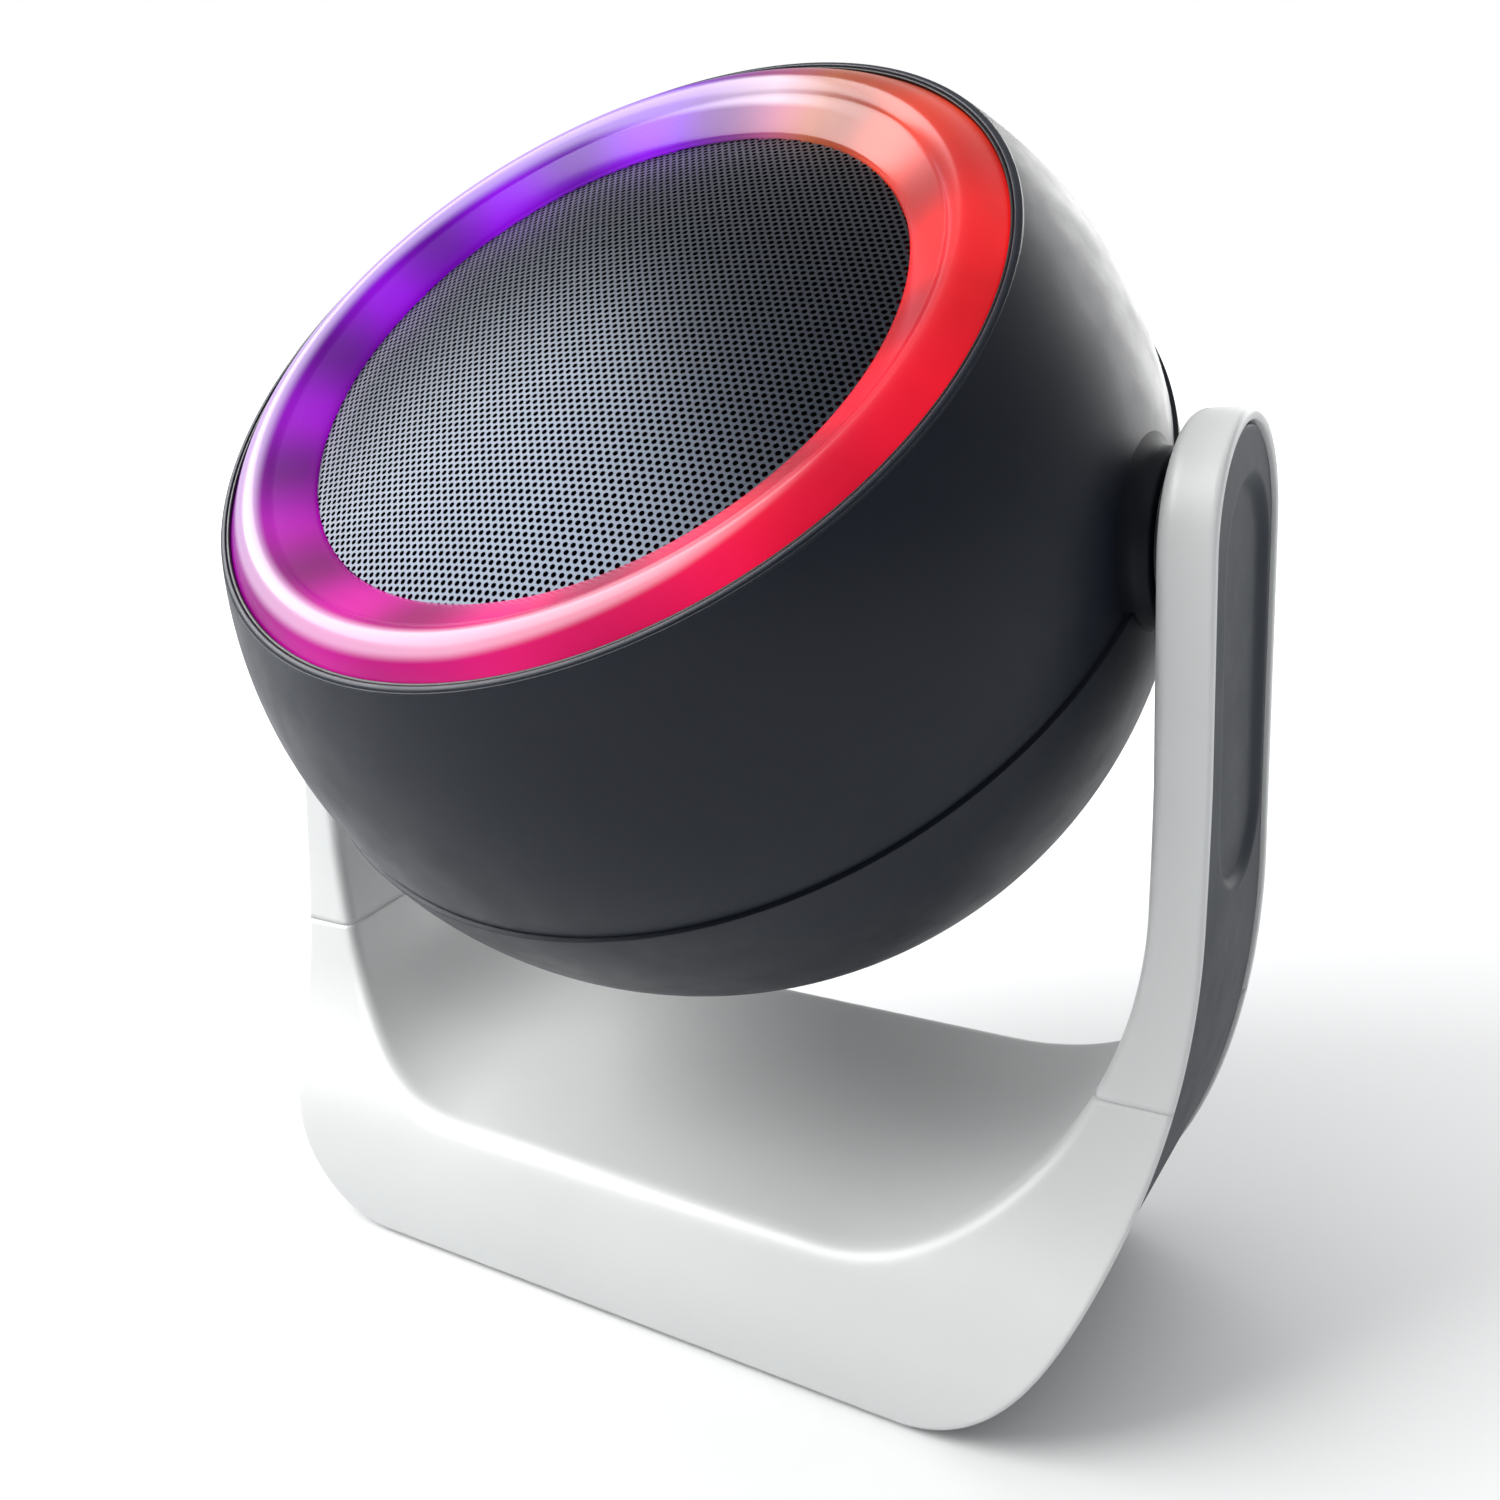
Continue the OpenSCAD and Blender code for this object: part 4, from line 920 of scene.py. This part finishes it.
def strip(path, closed):
    # raised mark: a bar of square section along a flat path on the cap
    path = np.array(path, float)
    step = np.roll(path, -1, 0) - np.roll(path, 1, 0) if closed else np.gradient(path, axis=0)
    step /= np.linalg.norm(step, axis=1, keepdims=True)
    beside = np.stack([-step[:, 1], step[:, 0]], -1) * caps["line"] / 2
    low, high = caps["out"] - 0.5, caps["out"] - caps["dish"] + caps["mark"]
    rows = [np.column_stack([path + beside * a, np.full(len(path), z)])
            for a, z in ((-1, low), (-1, high), (1, high), (1, low))]
    faces = gridFaces(4, len(path), True, closed)
    if not closed:
        last = len(path) - 1
        faces += [[k * len(path) for k in range(4)], [k * len(path) + last for k in range(3, -1, -1)]]
    return np.concatenate(rows), faces


def arc(r, first, last, count=40):
    turn = np.radians(np.linspace(first, last, count))
    return np.stack([r * np.cos(turn), r * np.sin(turn)], -1)


marks = {
    "power": [(arc(1.5, 125, 415), False), ([(0, 0.5), (0, 1.2), (0, 2.0)], False)],
    "volume_up": [([(-1.6, 0), (0, 0), (1.6, 0)], False), ([(0, -1.6), (0, 0), (0, 1.6)], False)],
    "volume_down": [([(-1.6, 0), (0, 0), (1.6, 0)], False)],
    "light": [(arc(0.9, 0, 360, 25)[:-1], True)] + [
        ([(1.5 * math.cos(a), 1.5 * math.sin(a)), (2.0 * math.cos(a), 2.0 * math.sin(a))], False)
        for a in (k * math.pi / 4 for k in range(8))],
}
for button, at in (("power", (0, 0)), ("volume_up", (caps["ring"], 0)), ("volume_down", (-caps["ring"], 0)),
                   ("light", (0, caps["ring"]))):
    words = button.split("_")
    label = words[0] + "".join(word.title() for word in words[1:])
    capPoints, capFaces = makeCap()
    makePiece(label + "Cap", onPanel(capPoints, at), capFaces, button + "_button", (button + "_button",),
              buttonDark)
    markPoints, markFaces = [], []
    for path, closed in marks[button]:
        points, faces = strip(path, closed)
        start = sum(len(part) for part in markPoints)
        markPoints.append(points)
        markFaces += [[index + start for index in face] for face in faces]
    makePiece(label + "Mark", onPanel(np.concatenate(markPoints), at), markFaces, button + "_button",
              (button + "_button",), markPale, welded=False, smooth=False)
print("buttons made")

# carried-over solids get their finish
record = frame["record"]
subparts = {s["node"]: s["material_slot"] for s in record["subparts"]}
for name, solid in nodes.items():
    finish = slotMaterials.get(subparts.get(name))
    if finish is None:
        continue
    solid.data.materials.clear()
    solid.data.materials.append(finish)
print("finishes given to", len(nodes), "solids")

# floor and light
studio = {
    "floor": (0.95, 0.95, 0.95), "bounce": (0.74, 0.75, 0.76), "world": (0.985, 0.99, 1.0),
    "aimHeight": 0.10, "floorSize": 40.0, "liftFrom": 0.25, "liftTo": 1.3, "lift": 0.5,
    # the room's level grows from dark to bright as a direction turns to where toward points
    "dark": 0.10, "bright": 1.2, "glossyShare": 0.42, "toward": (-0.45, 0.75, 0.35), "turn": 0.75,
}


def makeFloor():
    size = studio["floorSize"]
    mesh = bpy.data.meshes.new("floor")
    corners = [(-size, -size, 0), (size, -size, 0), (size, size, 0), (-size, size, 0)]
    mesh.from_pydata(corners, [], [(0, 1, 2, 3)])
    floor = bpy.data.objects.new("floor", mesh)
    bpy.context.collection.objects.link(floor)
    material, tree, bsdf = newMaterial("floor pale", studio["floor"], 0.9, specular=0.1)
    # the floor shows paler to the camera than the light it bounces up
    rays = node(tree, "ShaderNodeLightPath")
    bounce = mixColors(tree, rays.outputs["Is Camera Ray"], studio["bounce"], studio["floor"])
    tree.links.new(bounce, bsdf.inputs["Base Color"])
    # far from the object the floor is lifted to the backdrop's white, to the camera only
    coords = node(tree, "ShaderNodeTexCoord")
    away = node(tree, "ShaderNodeVectorMath", operation="LENGTH")
    tree.links.new(coords.outputs["Object"], away.inputs[0])
    lift = remap(tree, away.outputs["Value"], studio["liftFrom"], studio["liftTo"], 0.0, studio["lift"])
    glow = maths(tree, "MULTIPLY", lift, rays.outputs["Is Camera Ray"])
    tree.links.new(glow, bsdf.inputs["Emission Strength"])
    bsdf.inputs["Emission Color"].default_value = (1, 1, 1, 1)
    mesh.materials.append(material)
    return floor


def areaLight(name, azimuth, elevation, distance, width, height, power, diffuse, glossy):
    # azimuth 0 is behind the object (+Y), 90 to its right (+X); all are aimed at one height over the origin
    a, e = math.radians(azimuth), math.radians(elevation)
    away = np.array([math.sin(a) * math.cos(e), math.cos(a) * math.cos(e), math.sin(e)])
    data = bpy.data.lights.new(name, "AREA")
    data.shape = "RECTANGLE"
    data.size, data.size_y = width, height
    data.energy = power
    lamp = bpy.data.objects.new(name, data)
    bpy.context.collection.objects.link(lamp)
    side = np.cross([0, 0, 1.0], away)
    side /= np.linalg.norm(side)
    up = np.cross(away, side)
    place = np.array([0, 0, studio["aimHeight"]]) + away * distance
    columns = np.array([side, up, away, place])
    lamp.matrix_world = Matrix([[*map(float, row)] for row in columns.T] + [[0, 0, 0, 1]])
    lamp.visible_diffuse = diffuse
    lamp.visible_glossy = glossy
    return lamp


makeFloor()
# name, azimuth, elevation, distance, width, height, watts, lights surfaces, shows in reflections
for name, azimuth, elevation, distance, width, height, power, diffuse, glossy in (
        ("back right", 10, 14, 1.3, 0.9, 0.7, 10.0, False, True),
        ("front left gloss", -116, 45, 1.2, 1.1, 0.8, 32.0, False, True),
        ("front left window", -126, 38, 1.2, 0.9, 0.7, 13.5, True, False),
        ("overhead", -75, 64, 1.5, 1.2, 1.2, 4.5, True, False)):
    areaLight(name, azimuth, elevation, distance, width, height, power, diffuse, glossy)
world = bpy.data.worlds.new("studio")
world.use_nodes = True
background = world.node_tree.nodes["Background"]
background.inputs["Color"].default_value = (*studio["world"], 1)
# room bright on the left, behind and above, dim towards the right front
aim = node(world.node_tree, "ShaderNodeTexCoord")
facing = node(world.node_tree, "ShaderNodeVectorMath", operation="DOT_PRODUCT")
facing.inputs[1].default_value = studio["toward"]
world.node_tree.links.new(aim.outputs["Generated"], facing.inputs[0])
rays = node(world.node_tree, "ShaderNodeLightPath")
level = remap(world.node_tree, facing.outputs["Value"], -studio["turn"], studio["turn"], studio["dark"],
              studio["bright"])
mirrored = remap(world.node_tree, rays.outputs["Is Glossy Ray"], 0, 1, 1, studio["glossyShare"])
world.node_tree.links.new(maths(world.node_tree, "MULTIPLY", level, mirrored), background.inputs["Strength"])
# the camera sees plain white behind the object
backdrop = node(world.node_tree, "ShaderNodeBackground")
backdrop.inputs["Color"].default_value = (1, 1, 1, 1)
blend = node(world.node_tree, "ShaderNodeMixShader")
world.node_tree.links.new(rays.outputs["Is Camera Ray"], blend.inputs[0])
world.node_tree.links.new(background.outputs[0], blend.inputs[1])
world.node_tree.links.new(backdrop.outputs[0], blend.inputs[2])
world.node_tree.links.new(blend.outputs[0], world.node_tree.nodes["World Output"].inputs["Surface"])
bpy.context.scene.world = world
bpy.context.scene.view_settings.view_transform = "Standard"
print("studio made")
